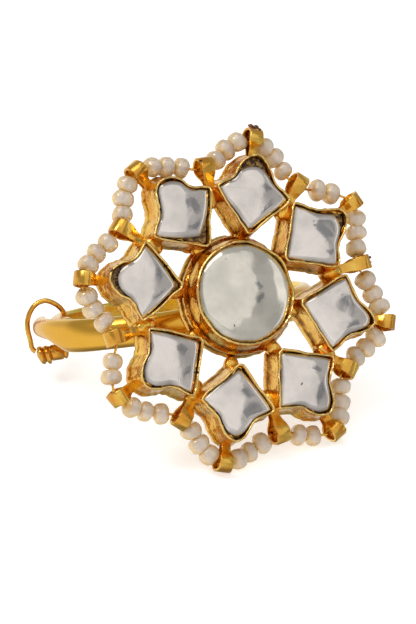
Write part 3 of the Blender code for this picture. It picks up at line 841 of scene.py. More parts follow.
def seed_mesh(name, points, edges=(), **vectors):
    """Loose points, which may be joined by edges, with a vector or number for each in each attribute."""
    mesh = bpy.data.meshes.new(name)
    mesh.from_pydata([tuple(point) for point in points], list(edges), [])
    for key, values in vectors.items():
        if isinstance(values[0], Vector):
            flat = [c for value in values for c in value]
            mesh.attributes.new(key, "FLOAT_VECTOR", "POINT").data.foreach_set("vector", flat)
        else:
            mesh.attributes.new(key, "FLOAT", "POINT").data.foreach_set("value", values)
    return mesh


def named(tree, name, kind="FLOAT"):
    """The output of a named attribute."""
    node = add_node(tree, "GeometryNodeInputNamedAttribute", {"Name": name}, data_type=kind)
    return node.outputs["Attribute"]


def stored(tree, geometry, name, value, kind="FLOAT", domain="POINT"):
    """The geometry with a value kept on it as a named attribute."""
    inputs = {"Geometry": geometry, "Name": name, "Value": value}
    node = add_node(tree, "GeometryNodeStoreNamedAttribute", inputs, data_type=kind, domain=domain)
    return node.outputs[0]


def aimed(tree, first, second, axes="XY"):
    """A rotation that turns one axis along a named direction and another towards a second."""
    inputs = {
        "Primary Axis": named(tree, first, "FLOAT_VECTOR"),
        "Secondary Axis": named(tree, second, "FLOAT_VECTOR"),
    }
    kind = "FunctionNodeAxesToRotation"
    return add_node(tree, kind, inputs, primary_axis=axes[0], secondary_axis=axes[1]).outputs[0]


def position(tree):
    """Where each point is."""
    return add_node(tree, "GeometryNodeInputPosition").outputs[0]


def moved(tree, geometry, **places):
    """The geometry with its points at a Position, or moved by an Offset."""
    return add_node(tree, "GeometryNodeSetPosition", {"Geometry": geometry, **places}).outputs[0]


def realised(tree, geometry):
    """The geometry with its copies made real."""
    return add_node(tree, "GeometryNodeRealizeInstances", {"Geometry": geometry}).outputs[0]


def unevenness(tree, place, wave, reach):
    """A random shift of up to half the reach each way, which changes over about one wave."""
    rough = add_node(tree, "ShaderNodeTexNoise", {"Vector": place, "Scale": 1 / wave, "Detail": 1.0})
    centred = vector_maths(tree, "SUBTRACT", rough.outputs["Color"], (0.5, 0.5, 0.5))
    return vector_maths(tree, "SCALE", centred, reach)


def random_vector(tree, low, high, seed):
    """A random vector for each point, between two others."""
    inputs = {0: low, 1: high, "Seed": seed}
    return add_node(tree, "FunctionNodeRandomValue", inputs, data_type="FLOAT_VECTOR").outputs[0]


def finish_tree(tree, geometry):
    """Ends a tree with real faces, smooth shading and its material."""
    smooth = add_node(tree, "GeometryNodeSetShadeSmooth", {"Geometry": realised(tree, geometry)}).outputs[0]
    finish = tree.nodes["Group Input"].outputs["Finish"]
    done = add_node(tree, "GeometryNodeSetMaterial", {"Geometry": smooth, "Material": finish}).outputs[0]
    add_node(tree, "NodeGroupOutput", {"Geometry": done})


def loop_tree():
    """Drop-shaped loops of flat strip, each drawn in to its own root on the flower."""
    tree, given = new_tree(
        "rim_loops",
        ("NodeSocketFloat", "Radius", 0.68 * MM),
        ("NodeSocketFloat", "Height", 1.6 * MM),
        ("NodeSocketFloat", "Strip width", 1.05 * MM),
        ("NodeSocketFloat", "Strip thickness", 0.22 * MM),
        ("NodeSocketFloat", "Unevenness", 0.05 * MM),
        ("NodeSocketInt", "Seed", 3),
        ("NodeSocketMaterial", "Finish", None),
    )
    ring = add_node(tree, "GeometryNodeCurvePrimitiveCircle", {"Resolution": 64, "Radius": 1.0}).outputs[0]
    xyz = add_node(tree, "ShaderNodeSeparateXYZ", {0: position(tree)}).outputs
    # Towards the root the drop narrows, and only that half is stretched to the root later.
    inwards = maths(tree, "MAXIMUM", maths(tree, "MULTIPLY", xyz[0], -1.0), 0.0)
    waist = stretched(tree, inwards, 0.05, 0.5, 1.0, 0.5, kind="SMOOTHSTEP")
    outwards = maths(tree, "MAXIMUM", xyz[0], 0.0)
    half = maths(tree, "MULTIPLY", given["Height"], 0.5)
    across = maths(tree, "MULTIPLY", maths(tree, "MULTIPLY", xyz[1], waist), half)
    drop = vector_of(tree, maths(tree, "MULTIPLY", outwards, given["Radius"]), across)
    shaped = moved(tree, stored(tree, ring, "inwards", inwards), Position=drop)
    level = add_node(tree, "GeometryNodeSetCurveNormal", {"Curve": shaped}, mode="Z_UP").outputs[0]
    sizes = {"Width": given["Strip thickness"], "Height": given["Strip width"]}
    section = add_node(tree, "GeometryNodeCurvePrimitiveQuadrilateral", sizes).outputs[0]
    corners = {"Curve": section, "Radius": 0.06 * MM, "Count": 2}
    soft = add_node(tree, "GeometryNodeFilletCurve", corners, mode="POLY").outputs[0]
    run = {"Curve": level, "Profile Curve": soft, "Fill Caps": False}
    strip = add_node(tree, "GeometryNodeCurveToMesh", run).outputs[0]
    # Where the strip is pinched together behind the loop it is also narrower.
    narrow = stretched(tree, named(tree, "inwards"), 0.1, 0.5, 1.0, 0.62, kind="SMOOTHSTEP")
    pinched = vector_maths(tree, "MULTIPLY", position(tree), vector_of(tree, 1.0, 1.0, narrow))
    strip = moved(tree, strip, Position=pinched)
    lie = aimed(tree, "outward_way", "face_way")
    copies = {"Points": given["Geometry"], "Instance": strip, "Rotation": lie}
    loops = realised(tree, add_node(tree, "GeometryNodeInstanceOnPoints", copies).outputs[0])
    reach = maths(tree, "MULTIPLY", maths(tree, "MULTIPLY", named(tree, "inwards"), named(tree, "leg")), -1.0)
    stretch = vector_maths(tree, "SCALE", named(tree, "outward_way", "FLOAT_VECTOR"), reach)
    # The seed moves the place at which the unevenness is read.
    shift = vector_of(tree, maths(tree, "MULTIPLY", given["Seed"], 0.0137))
    here = vector_maths(tree, "ADD", position(tree), shift)
    uneven = unevenness(tree, here, 0.9 * MM, maths(tree, "MULTIPLY", given["Unevenness"], 4.0))
    finish_tree(tree, moved(tree, loops, Offset=vector_maths(tree, "ADD", stretch, uneven)))
    return tree


def drilled_pearl(tree, given):
    """One pearl round its drill hole, which runs along Z, with its place and ends kept on it."""
    ball = {"Segments": 28, "Rings": 18, "Radius": 1.0}
    ball = add_node(tree, "GeometryNodeMeshUVSphere", ball).outputs[0]
    place = position(tree)
    xyz = add_node(tree, "ShaderNodeSeparateXYZ", {0: place}).outputs
    # The drill leaves a dimple at each pole, and a drum side makes the pearl squarer than a ball.
    away = maths(tree, "SUBTRACT", 1.0, maths(tree, "MULTIPLY", xyz[2], xyz[2]))
    away = maths(tree, "SQRT", maths(tree, "MAXIMUM", away, 0.0))
    dimple = stretched(tree, away, 0.0, 0.4, 0.8, 1.0)
    height = maths(tree, "POWER", maths(tree, "ABSOLUTE", xyz[2]), given["Drum"])
    signed = maths(tree, "MULTIPLY", height, maths(tree, "SIGN", xyz[2]))
    along = maths(tree, "MULTIPLY", signed, maths(tree, "MULTIPLY", given["Thickness"], 0.5))
    less = maths(tree, "SUBTRACT", given["Drum"], 1.0)
    fuller = maths(tree, "POWER", maths(tree, "MAXIMUM", away, 0.0001), less)
    radius = maths(tree, "MULTIPLY", given["Diameter"], 0.5)
    x, y = (maths(tree, "MULTIPLY", maths(tree, "MULTIPLY", xyz[k], fuller), radius) for k in (0, 1))
    ends = stored(tree, ball, "drilled_end", maths(tree, "ABSOLUTE", xyz[2]))
    mapped = stored(tree, ends, "pearl_place", place, "FLOAT_VECTOR")
    return moved(tree, mapped, Position=vector_of(tree, x, y, maths(tree, "MULTIPLY", along, dimple)))


def pearl_tree():
    """Drilled seed pearls on the string, each a little different in size, squareness and lie."""
    tree, given = new_tree(
        "seed_pearls",
        ("NodeSocketFloat", "Diameter", 1.5 * MM),
        ("NodeSocketFloat", "Thickness", 1.24 * MM),
        ("NodeSocketFloat", "Drum", 0.86),
        ("NodeSocketFloat", "Spread", 0.08),
        ("NodeSocketFloat", "Tilt", 0.16),
        ("NodeSocketInt", "Seed", 5),
        ("NodeSocketMaterial", "Finish", None),
    )
    pearl = drilled_pearl(tree, given)
    least = maths(tree, "SUBTRACT", 1.0, given["Spread"])
    most = maths(tree, "ADD", 1.0, maths(tree, "MULTIPLY", given["Spread"], 0.7))
    low, high = (vector_of(tree, size, size, size) for size in (least, most))
    size = random_vector(tree, low, high, given["Seed"])
    # Each pearl tips a little on the wire and may have turned round it by any angle.
    tilt = given["Tilt"]
    back = maths(tree, "MULTIPLY", tilt, -1.0)
    low, high = vector_of(tree, back, back, -3.14), vector_of(tree, tilt, tilt, 3.14)
    tip = random_vector(tree, low, high, maths(tree, "ADD", given["Seed"], 11))
    nudge = add_node(tree, "FunctionNodeEulerToRotation", {0: tip}).outputs[0]
    lie = {0: aimed(tree, "string_way", "face_way", "ZX"), 1: nudge}
    lie = add_node(tree, "FunctionNodeRotateRotation", lie, rotation_space="LOCAL").outputs[0]
    copies = {"Points": given["Geometry"], "Instance": pearl, "Rotation": lie, "Scale": size}
    copies = add_node(tree, "GeometryNodeInstanceOnPoints", copies).outputs[0]
    seed = {"Seed": maths(tree, "ADD", given["Seed"], 23)}
    tone = add_node(tree, "FunctionNodeRandomValue", seed, data_type="FLOAT").outputs[1]
    pearls = realised(tree, stored(tree, copies, "tone", tone, domain="INSTANCE"))
    shaped = moved(tree, pearls, Offset=unevenness(tree, position(tree), 1.1 * MM, 0.22 * MM))
    # flank rises as the surface turns away from the flower's front, and the nacre paints its glow there.
    facing = dot_product(tree, add_node(tree, "GeometryNodeInputNormal").outputs[0], OUTWARD)
    flank = maths(tree, "SUBTRACT", 1.0, maths(tree, "MAXIMUM", facing, 0.0))
    finish_tree(tree, stored(tree, shaped, "flank", flank))
    return tree


def wire_tree():
    """A round wire along a chain of points, a little kinked as soft gold wire is."""
    tree, given = new_tree(
        "wire_run",
        ("NodeSocketFloat", "Diameter", 0.3 * MM),
        ("NodeSocketFloat", "Kinks", 0.03 * MM),
        ("NodeSocketFloat", "Step", 0.12 * MM),
        ("NodeSocketMaterial", "Finish", None),
    )
    line = add_node(tree, "GeometryNodeMeshToCurve", {"Mesh": given["Geometry"]}).outputs[0]
    even = {"Curve": line, "Length": given["Step"]}
    even = add_node(tree, "GeometryNodeResampleCurve", even, mode="LENGTH").outputs[0]
    bent = unevenness(tree, position(tree), 0.7 * MM, maths(tree, "MULTIPLY", given["Kinks"], 4.0))
    section = {"Resolution": 12, "Radius": maths(tree, "MULTIPLY", given["Diameter"], 0.5)}
    section = add_node(tree, "GeometryNodeCurvePrimitiveCircle", section).outputs[0]
    run = {"Curve": moved(tree, even, Offset=bent), "Profile Curve": section, "Fill Caps": True}
    finish_tree(tree, add_node(tree, "GeometryNodeCurveToMesh", run).outputs[0])
    return tree


# Sizes and colours that a user would change.


def length(name, description, millimetres):
    """A property that holds a length."""
    return bpy.props.FloatProperty(
        name=name, description=description, default=millimetres * MM, unit="LENGTH"
    )


def angle(name, description, degrees):
    """A property that holds an angle."""
    return bpy.props.FloatProperty(
        name=name, description=description, default=math.radians(degrees), subtype="ANGLE"
    )


class FlowerLook(bpy.types.PropertyGroup):
    """Settings of the flower's metal and stones."""

    bend: length("Wall bend", "How far the hand-bent walls stray sideways", 0.1)
    ragged: length("Ragged rim", "How far the thin rims rise and fall", 0.16)
    # cleft_shade is how dark the low walls are painted as shade in the clefts round the collet.
    cleft_shade: bpy.props.FloatProperty(
        name="Tarnish",
        description="How dark the gold has stayed in the clefts round the collet",
        default=0.4,
        subtype="FACTOR",
    )
    pleats: length("Pleats", "Depth of the upright folds in the walls", 0.09)
    foil: length("Foil", "Width of the gold foil torn over the stones' edges", 0.3)
    collet_diameter: length("Collet diameter", "Across the centre collet's rim", 7.4)
    stone_gap: length("Stone gap", "Dark seam between a wall and its stone", 0.05)
    petal_dome: length("Petal dome", "Height of a petal stone above its girdle", 0.46)
    centre_dome: length("Centre dome", "Height of the centre stone above its girdle", 0.8)


class PearlLook(bpy.types.PropertyGroup):
    """Settings of the seed pearls and their wire."""

    diameter: length("Diameter", "Across a pearl", 1.56)
    pitch: length("Pitch", "From one pearl to the next along the string", 1.1)
    drop: length("Drop", "How far the string lies behind the loops' plane", 0.55)
    sag: length("Sag", "How much further it sags between two loops", 0.3)
    bulge: length("Bulge", "How far the pearls push the wire outwards", 0.2)
    wire: length("Wire", "Diameter of the threading wire", 0.18)
    seed: bpy.props.IntProperty(name="Seed", description="Seed of the pearls' differences", default=5)


class StageLook(bpy.types.PropertyGroup):
    """Settings of the camera and light."""

    azimuth: angle("Azimuth", "Camera's place round the ring", -27.66)
    elevation: angle("Elevation", "Camera's height over the floor", 29.52)
    roll: angle("Roll", "Camera's turn about its own line of sight", -1.34)
    distance: length("Distance", "From the camera to the ring", 300)
    lens: bpy.props.FloatProperty(
        name="Lens",
        description="Focal length on a 36 mm sensor",
        default=242.5,
        subtype="DISTANCE_CAMERA",
    )
    aim: bpy.props.FloatVectorProperty(
        name="Aim",
        description="Point in the middle of the view",
        default=(-2.074 * MM, -4.869 * MM, 9.345 * MM),
        subtype="TRANSLATION",
    )


class RingLook(bpy.types.PropertyGroup):
    """All settings of the ring."""

    flower: bpy.props.PointerProperty(type=FlowerLook)
    pearls: bpy.props.PointerProperty(type=PearlLook)
    stage: bpy.props.PointerProperty(type=StageLook)


# Pieces.


def shared(name, maker, *settings):
    """A material made once and used by several pieces."""
    return bpy.data.materials.get(name) or maker(name, *settings)


def head_gold():
    """The flower's metal: its material, its bright and deep gold and the brown of its soot and painted shade,
    roughness and depth of dents in mm.
    """
    return shared("gilded copper alloy, hand worked", gilding, "#F6C658", "#DE9C38", "#7C4A16", 0.23, 0.09)


def wire_gold():
    """The metal of loops, wire and keeper."""
    return shared("gilded wire, soft drawn", gilding, "#F0C45C", "#D8983A", "#4A2A10", 0.18, 0.03)


def shank_gold():
    """The strip's metal: pale, deep and red gold, and the painted shade at its round ends."""
    return shared("gilded strip, rubbed lengthwise", satin_gold, "#F6D664", "#EDC24A", "#DC9428", "#7A3412")


def pearl_nacre():
    """The pearls: their body, its warm patches, and the painted glow of their flanks and drilled ends."""
    return shared("seed pearl nacre", nacre, "#E4DACE", "#D0C0AA", "#FAD690")


def petal_crystal():
    """The petal stones: foil, its shade, and the wall painted in as seen through the edge."""
    return shared("clear crystal on silver foil", foiled_crystal, "#EAE1D8", "#D6CEC6", "#7E7468")


def centre_crystal():
    """The centre stone, in the same order."""
    return shared("greenish crystal on silver foil", foiled_crystal, "#E8E1D2", "#D0CBBC", "#8A8776")


def strip_row(place, column):
    """Reads a column of the shank's table between two rows, with level starts and ends."""
    if place <= SHANK_TABLE[0]["at_deg"]:
        return SHANK_TABLE[0][column]
    for low, high in zip(SHANK_TABLE, SHANK_TABLE[1:]):
        if place <= high["at_deg"]:
            share = (place - low["at_deg"]) / (high["at_deg"] - low["at_deg"])
            share = share * share * (3 - 2 * share)
            return low[column] + share * (high[column] - low[column])
    return SHANK_TABLE[-1][column]


def strip_station(place, pinch):
    """One section of the shank's strip, narrowed by pinch and flattened with it at the round ends."""
    width = TONGUE_WIDTH + strip_row(place, "width") * (SHOULDER_WIDTH - TONGUE_WIDTH)
    inside = BORE_RADIUS + TONGUE_LIFT * strip_row(place, "lift")
    drop = (SHOULDER_WIDTH - TONGUE_WIDTH) / 2 * strip_row(place, "drop")
    half = [(row["across"] * width * pinch, row["thick"]) for row in SHANK_SECTION]
    section = half + [(-across, thick) for across, thick in reversed(half)]
    thin = 0.35 + 0.65 * min(1.0, pinch * 1.15)
    ring = []
    for across, thick in section:
        reach = inside + SHANK_THICKNESS * (0.5 + (thick - 0.5) * thin)
        uneven = wobble(on_shank(place, reach, across - drop), STRIP_WAVE, 2) * STRIP_UNEVEN
        ring.append(on_shank(place, reach + uneven, across - drop + uneven * 0.6))
    return ring


def build_shank(look):
    """The open strip round the finger, whose attribute side rises to its edges and past 1 at its ends."""
    nose = math.degrees(TONGUE_WIDTH / BORE_RADIUS) * NOSE_SHARE
    rings, ended = [], []
    for k in range(SHANK_STEPS + 1):
        # Stations lie closer together at the two round ends.
        share = 0.5 - 0.5 * math.cos(math.pi * k / SHANK_STEPS)
        share = share * END_CROWDING + k / SHANK_STEPS * (1 - END_CROWDING)
        place = TONGUE_END_DEG + share * (INNER_END_DEG - TONGUE_END_DEG)
        end = min(place - TONGUE_END_DEG, INNER_END_DEG - place) / nose
        pinch = math.sqrt(max(0.0, 1 - (1 - min(1.0, end)) ** 2)) * 0.97 + 0.03
        rings.append(strip_station(place, pinch))
        # ended rises towards each round end, where the strip's material paints shade.
        ended.append(max(0.0, 1.6 - end))
    points, faces = loft(rings)
    half = len(rings[0]) // 2
    side = [abs(k - half + 0.5) / half for k in range(len(rings[0]))]
    side = [min(1.0, (1 - share) * 1.8) for share in side]
    side = [max(value, ended[k]) for k in range(len(rings)) for value in side]
    mesh = mesh_from("shank", points, faces, sharp_deg=60, side=side)
    map_strip(mesh, len(rings), len(rings[0]))
    add_piece("shank", mesh, shank_gold(), "ring_frame")


def map_strip(mesh, stations, around):
    """A map in mm: along the strip, and round its section."""
    layer = mesh.uv_layers.new(name="strip")
    step = math.radians(INNER_END_DEG - TONGUE_END_DEG) / stations * BORE_RADIUS / MM
    girth = 2 * (SHOULDER_WIDTH + SHANK_THICKNESS) / MM
    for face in mesh.polygons:
        columns = [mesh.loops[i].vertex_index % around for i in face.loop_indices]
        wraps = max(columns) - min(columns) > around / 2
        for loop, column in zip(face.loop_indices, columns):
            station = min(mesh.loops[loop].vertex_index // around, stations - 1)
            column += around if wraps and column < around / 2 else 0
            layer.data[loop].uv = (station * step, column / around * girth)


def build_setting(name, rim, wall, look, seed):
    """One setting's wall, with its painted shade, stains and rubbed places."""
    rings, dirt, rub = setting_wall(rim, wall, look.flower, seed)
    points, faces = loft(rings)
    mesh = mesh_from(name, points, faces, dirt=dirt, rub=rub)
    add_piece(name, mesh, head_gold(), "ring_frame")


def build_petal_boxes(look):
    """The petals' boxes, bent from thin strip and each a little different."""
    for index in range(PETALS):
        build_setting(f"petal_box_{index + 1}", petal_rim(index), BOX_WALL, look, index * 2 + 1)


def build_collet(look):
    """The centre stone's collet on its stepped foot."""
    build_setting("centre_collet", collet_rim(look), COLLET_WALL, look, COLLET_SEED)


def lump(spot, radial, form, seed):
    """A run of solder: a rounded lump at a spot, lying along the flower's radius there."""
    level, (long, broad, high) = form
    across = Vector((radial.y, -radial.x))
    rings = []
    for k in range(LUMP_RINGS):
        slope = math.pi * (k + 0.5) / LUMP_RINGS
        girth = math.sin(slope) ** 0.8
        ring = []
        for i in range(LUMP_SIDES):
            turn = 2 * math.pi * i / LUMP_SIDES
            over = math.sin(turn) * girth * high * MM
            side = math.cos(turn) * girth * broad * MM
            place = spot + radial * (math.cos(slope) * long * MM) + across * side
            swell = 1 + 0.25 * wobble((place.x, place.y, over), 0.5 * MM, seed)
            ring.append(on_head(place.x, place.y, level * MM + over * swell))
        rings.append(ring)
    return loft(rings)


def joined(parts):
    """Several lists of points and faces as one."""
    points, faces = [], []
    for more_points, more_faces in parts:
        start = len(points)
        points += more_points
        faces += [tuple(start + i for i in face) for face in more_faces]
    return points, faces


def build_joints(look):
    """The solder between neighbouring petals, and between each petal and the collet."""
    parts = []
    for index in range(PETALS):
        at_deg = 360 / PETALS * index
        parts.append(lump(polar(at_deg, PETAL_SHOULDER), polar(at_deg, 1), SHOULDER_SOLDER, index))
        at_deg += 180 / PETALS
        root = polar(at_deg, PETAL_START * petal_row(index)["start"] - ROOT_OVERLAP)
        parts.append(lump(root, polar(at_deg, 1), ROOT_SOLDER, index + 20))
    points, faces = joined(parts)
    dirt = [0.45 + 0.4 * wobble(p, 0.6 * MM, 4) for p in points]
    rub = [0.2 + 0.5 * wobble(p, 0.8 * MM, 9) for p in points]
    mesh = mesh_from("solder_joints", points, faces, dirt=dirt, rub=rub)
    add_piece("solder_joints", mesh, head_gold(), "ring_frame")


def loop_place(index):
    """The middle of one loop's hole on the flower, and the direction out through it."""
    row = LOOP_TABLE[index % len(LOOP_TABLE)]
    size = TIP_LOOP_REACH if index % 2 else GAP_LOOP_REACH
    at_deg = 180 / PETALS * index + row["drift"]
    return polar(at_deg, size * row["reach"]), polar(at_deg, 1)


def loop_leg(index):
    """From the middle of a loop in to the metal that carries it."""
    row = LOOP_TABLE[index % len(LOOP_TABLE)]
    if index % 2 == 0:
        return GAP_LOOP_REACH * row["reach"] - PETAL_SHOULDER
    petal = petal_row(index // 2)
    tip = PETAL_START * petal["start"] + PETAL_LENGTH * petal["length"]
    return TIP_LOOP_REACH * row["reach"] - tip + ROOT_OVERLAP


def build_loops(look):
    """The loops of flat strip that stand round the flower and carry the pearls' wire."""
    spots, outs, legs = [], [], []
    for index in range(2 * PETALS):
        hole, along = loop_place(index)
        spots.append(on_head(hole.x, hole.y, -LOOP_DROP))
        outs.append(RIGHT * along.x + UP * along.y)
        legs.append(loop_leg(index))
    ways = {"outward_way": outs, "face_way": [OUTWARD] * len(spots), "leg": legs}
    seeds = seed_mesh("loop_places", spots, **ways)
    mesh = grown("rim_loops", seeds, loop_tree(), {"Finish": wire_gold()})
    add_piece("rim_loops", mesh, wire_gold(), "ring_frame")


def dome(outline, height, cap, seed):
    """A polished stone: a girdle, a narrow rolled edge and a low cap that is flatter the wider its spread."""
    middle = sum(outline, Vector((0, 0))) / len(outline)
    rings = [[on_head(p.x, p.y, cap["girdle"] - CRYSTAL_SKIRT) for p in outline]]
    edge = [1.0] * len(outline)
    for k in range(CAP_STEPS):
        size = math.cos(math.pi / 2 * k / CAP_STEPS)
        ring = []
        for point in outline:
            way = point - middle
            spot = middle + way * size
            inside = min(1.0, way.length * (1 - size) / EDGE_ROLL)
            rise = height * (1 - (way.length * size / cap["spread"]) ** 2)
            rise += EDGE_RISE * (1 - (1 - inside) ** 2)
            # edge rises towards the girdle, where the crystal's material paints in the dark wall.
            edge.append((1 - inside) ** 1.5)
            here = Vector((spot.x, spot.y, 0))
            uneven = wobble(here, CAP_WAVE, seed) + wobble(here, CAP_RIPPLE, seed + 2) * 0.15
            rise += uneven * cap["lumps"] * (1 - size**6)
            ring.append(on_head(spot.x, spot.y, cap["girdle"] + rise))
        rings.append(ring)
    points, faces = loft(rings)
    return points, faces, edge


def shrunk(outline, distance):
    """The outline moved inwards."""
    return [point - side * distance for point, side in zip(outline, outward_sides(outline))]


def build_crystals(look):
    """The foiled stones: the petals' in the shape of their boxes, and the round centre stone."""
    flower = look.flower
    seam = RIM_INSIDE + flower.stone_gap
    stones = [
        (f"petal_crystal_{k + 1}", petal_rim(k, stone=True), flower.petal_dome, PETAL_CAP, k * 3 + 40)
        for k in range(PETALS)
    ]
    stones.append(("centre_crystal", collet_rim(look), flower.centre_dome, CENTRE_CAP, 77))
    for name, rim, height, cap, seed in stones:
        points, faces, edge = dome(shrunk(rim, seam), height, cap, seed)
        mesh = mesh_from(name, points, faces, edge=edge)
        finish = centre_crystal() if cap is CENTRE_CAP else petal_crystal()
        add_piece(name, mesh, finish, name.replace("crystal", "stone"))


def build_lac(look):
    """The brown resin that shows as a seam round every stone."""
    parts = []
    for seed, outline in enumerate(setting_rims(look)):
        rings = []
        for inset, height in LAC_PROFILE:
            ring = []
            for point in shrunk(outline, inset * MM):
                uneven = wobble((point.x, point.y, inset * MM), 0.4 * MM, seed) * LAC_UNEVEN
                ring.append(on_head(point.x, point.y, height * MM + uneven))
            rings.append(ring)
        parts.append(loft(rings))
    mesh = mesh_from("lac_bed", *joined(parts))
    add_piece("lac_bed", mesh, shared("brown lac", lac), "ring_frame")


def build_foil(look):
    """Torn gold foil between the walls and the stones, which laps over the stones' edges in places."""
    parts = []
    for seed, outline in enumerate(setting_rims(look)):
        rings = []
        for share, height in FOIL_PROFILE:
            ring = []
            for point, side in zip(outline, outward_sides(outline)):
                torn = wobble((point.x, point.y, 0), TEAR_WAVE, seed + 60) * 1.1
                torn += wobble((point.x, point.y, 0), SHRED_WAVE, seed + 80) * 0.5
                lap = look.flower.foil * max(-0.2, torn) * share
                lift = wobble((point.x, point.y, share * MM), 0.3 * MM, seed + 90) * FOIL_UNEVEN
                spot = point - side * (RIM_INSIDE * 0.8 + lap)
                ring.append(on_head(spot.x, spot.y, height * MM + lift))
            rings.append(ring)
        parts.append(loft(rings, closed=True))
    points, faces = joined(parts)
    dirt = [0.35 + 0.5 * wobble(p, 0.5 * MM, 8) for p in points]
    mesh = mesh_from("foil_edges", points, faces, dirt=dirt)
    add_piece("foil_edges", mesh, head_gold(), "ring_frame")


def string_spots(look):
    """Places and directions along the wire: a list of (point, is_pearl, direction)."""
    pearls = look.pearls
    spots = []
    for index in range(2 * PETALS):
        hole, along = loop_place(index)
        next_hole, next_along = loop_place((index + 1) % (2 * PETALS))
        start = hole + Vector((along.y, -along.x)) * STRAIGHT_RUN
        end = next_hole - Vector((next_along.y, -next_along.x)) * STRAIGHT_RUN
        count = LOOP_TABLE[index]["pearls"]
        pitch = pearls.pitch / (end - start).length
        spots.append((on_head(hole.x, hole.y, -pearls.drop), False, None))
        spots.append((on_string(pearls, start, end, 0), False, None))
        for pearl in range(count):
            share = 0.5 + (pearl - (count - 1) / 2) * pitch
            ahead = on_string(pearls, start, end, share + 0.1)
            way = ahead - on_string(pearls, start, end, share - 0.1)
            spots.append((on_string(pearls, start, end, share), True, way.normalized()))
        spots.append((on_string(pearls, start, end, 1), False, None))
    return spots


def on_string(pearls, start, end, share):
    """A place on the wire between two loops, pushed outwards and sagging back as in the solid."""
    spot = start.lerp(end, share)
    bow = math.sin(math.pi * share)
    spot += spot.normalized() * (pearls.bulge * bow)
    return on_head(spot.x, spot.y, -pearls.drop - pearls.sag * bow)


def build_pearls(look):
    """The seed pearls, two or three between neighbouring loops."""
    spots = [(point, way) for point, is_pearl, way in string_spots(look) if is_pearl]
    ways = {"string_way": [way for point, way in spots], "face_way": [OUTWARD] * len(spots)}
    seeds = seed_mesh("pearl_places", [point for point, way in spots], **ways)
    values = {"Diameter": look.pearls.diameter, "Seed": look.pearls.seed, "Finish": pearl_nacre()}
    mesh = grown("seed_pearls", seeds, pearl_tree(), values)
    add_piece("seed_pearls", mesh, pearl_nacre(), "pearl_string")


def build_wire(look):
    """The wire through the pearls and the loops."""
    points = [point for point, is_pearl, way in string_spots(look)]
    edges = [(i, (i + 1) % len(points)) for i in range(len(points))]
    seeds = seed_mesh("wire_places", points, edges)
    values = {"Diameter": look.pearls.wire, "Finish": wire_gold()}
    mesh = grown("threading_wire", seeds, wire_tree(), values)
    add_piece("threading_wire", mesh, wire_gold(), "pearl_string")


def build_wire_ends(look):
    """The threading wire's ends, wound round two loops in front of their holes."""
    points, edges = [], []
    for row in WIRE_ENDS:
        hole, along = loop_place(row["loop"])
        outward_way = RIGHT * along.x + UP * along.y
        middle = on_head(hole.x, hole.y, -look.pearls.drop) + outward_way * (0.2 * MM)
        side = outward_way.cross(OUTWARD)
        steps = int(row["turns"] * TURN_STEPS)
        first = len(points)
        for k in range(steps + 1):
            turn = 2 * math.pi * k / TURN_STEPS
            radius = row["reach"] * MM * (1.25 + 0.12 * math.sin(k * 0.7))
            spot = middle + (outward_way * math.cos(turn) + OUTWARD * math.sin(turn)) * radius
            points.append(spot + side * ((k / steps - 0.5) * WINDING_WIDTH))
        for k in range(1, TAIL_STEPS + 1):
            bend = OUTWARD * (0.05 * MM * k)
            points.append(points[-1] + (outward_way * (row["tail"] * MM) + bend) / TAIL_STEPS)
        edges += [(i, i + 1) for i in range(first, len(points) - 1)]
    seeds = seed_mesh("wire_end_places", points, edges)
    finish = shared("tarnished wire ends", gilding, "#9A6A34", "#6A3A22", "#2E1710", 0.4, 0.03)
    mesh = grown("wire_ends", seeds, wire_tree(), {"Diameter": WIRE_END_DIAMETER, "Finish": finish})
    add_piece("wire_ends", mesh, finish, "pearl_string")


def build_keeper(look):
    """The keeper's bow of wire round both arms of the shank, and its wound sleeve below them."""
    clear = KEEPER_WIRE / 2 + KEEPER_CLEARANCE
    inside = BORE_RADIUS - clear
    span = TONGUE_LIFT + SHANK_THICKNESS + 2 * clear
    corners = [
        (on_shank(KEEPER_AT_DEG, inside + span * row["out"], row["up"] * MM), 0.0) for row in BOW_PATH
    ]
    run = rounded(corners, BOW_STEPS)[: BOW_STEPS * (len(corners) - 1) + 1]
    edges = [(i, i + 1) for i in range(len(run) - 1)]
    seeds = seed_mesh("bow_places", run, edges)
    values = {"Diameter": KEEPER_WIRE, "Kinks": 0.02 * MM, "Finish": wire_gold()}
    mesh = grown("keeper_bow", seeds, wire_tree(), values)
    add_piece("keeper_bow", mesh, wire_gold(), "keeper_loop")
    rings = []
    for row in SLEEVE_PROFILE:
        ring = []
        for k in range(SLEEVE_SIDES):
            turn = 2 * math.pi * k / SLEEVE_SIDES
            rise = math.sin(turn) * row["radius"] * MM
            reach = inside + span * row["out"] + rise * row["lean"]
            at_deg = KEEPER_AT_DEG + math.degrees(math.cos(turn) * row["radius"] * MM / reach)
            height = rise - row["low"] * MM
            uneven = wobble(on_shank(at_deg, reach, height), 0.4 * MM, 6) * SLEEVE_UNEVEN
            ring.append(on_shank(at_deg, reach, height + uneven))
        rings.append(ring)
    points, faces = loft(rings)
    dirt = [0.2 + 0.3 * wobble(p, 0.5 * MM, 2) for p in points]
    mesh = mesh_from("keeper_sleeve", points, faces, dirt=dirt)
    add_piece("keeper_sleeve", mesh, wire_gold(), "keeper_loop")


# The studio: distances in metres.

LIGHT_REACH = 0.5
FLAG_REACH = 0.12
FLOOR_HALF = 1.5
SHEET_CORNERS = ((-1, -1), (1, -1), (1, 1), (-1, 1))


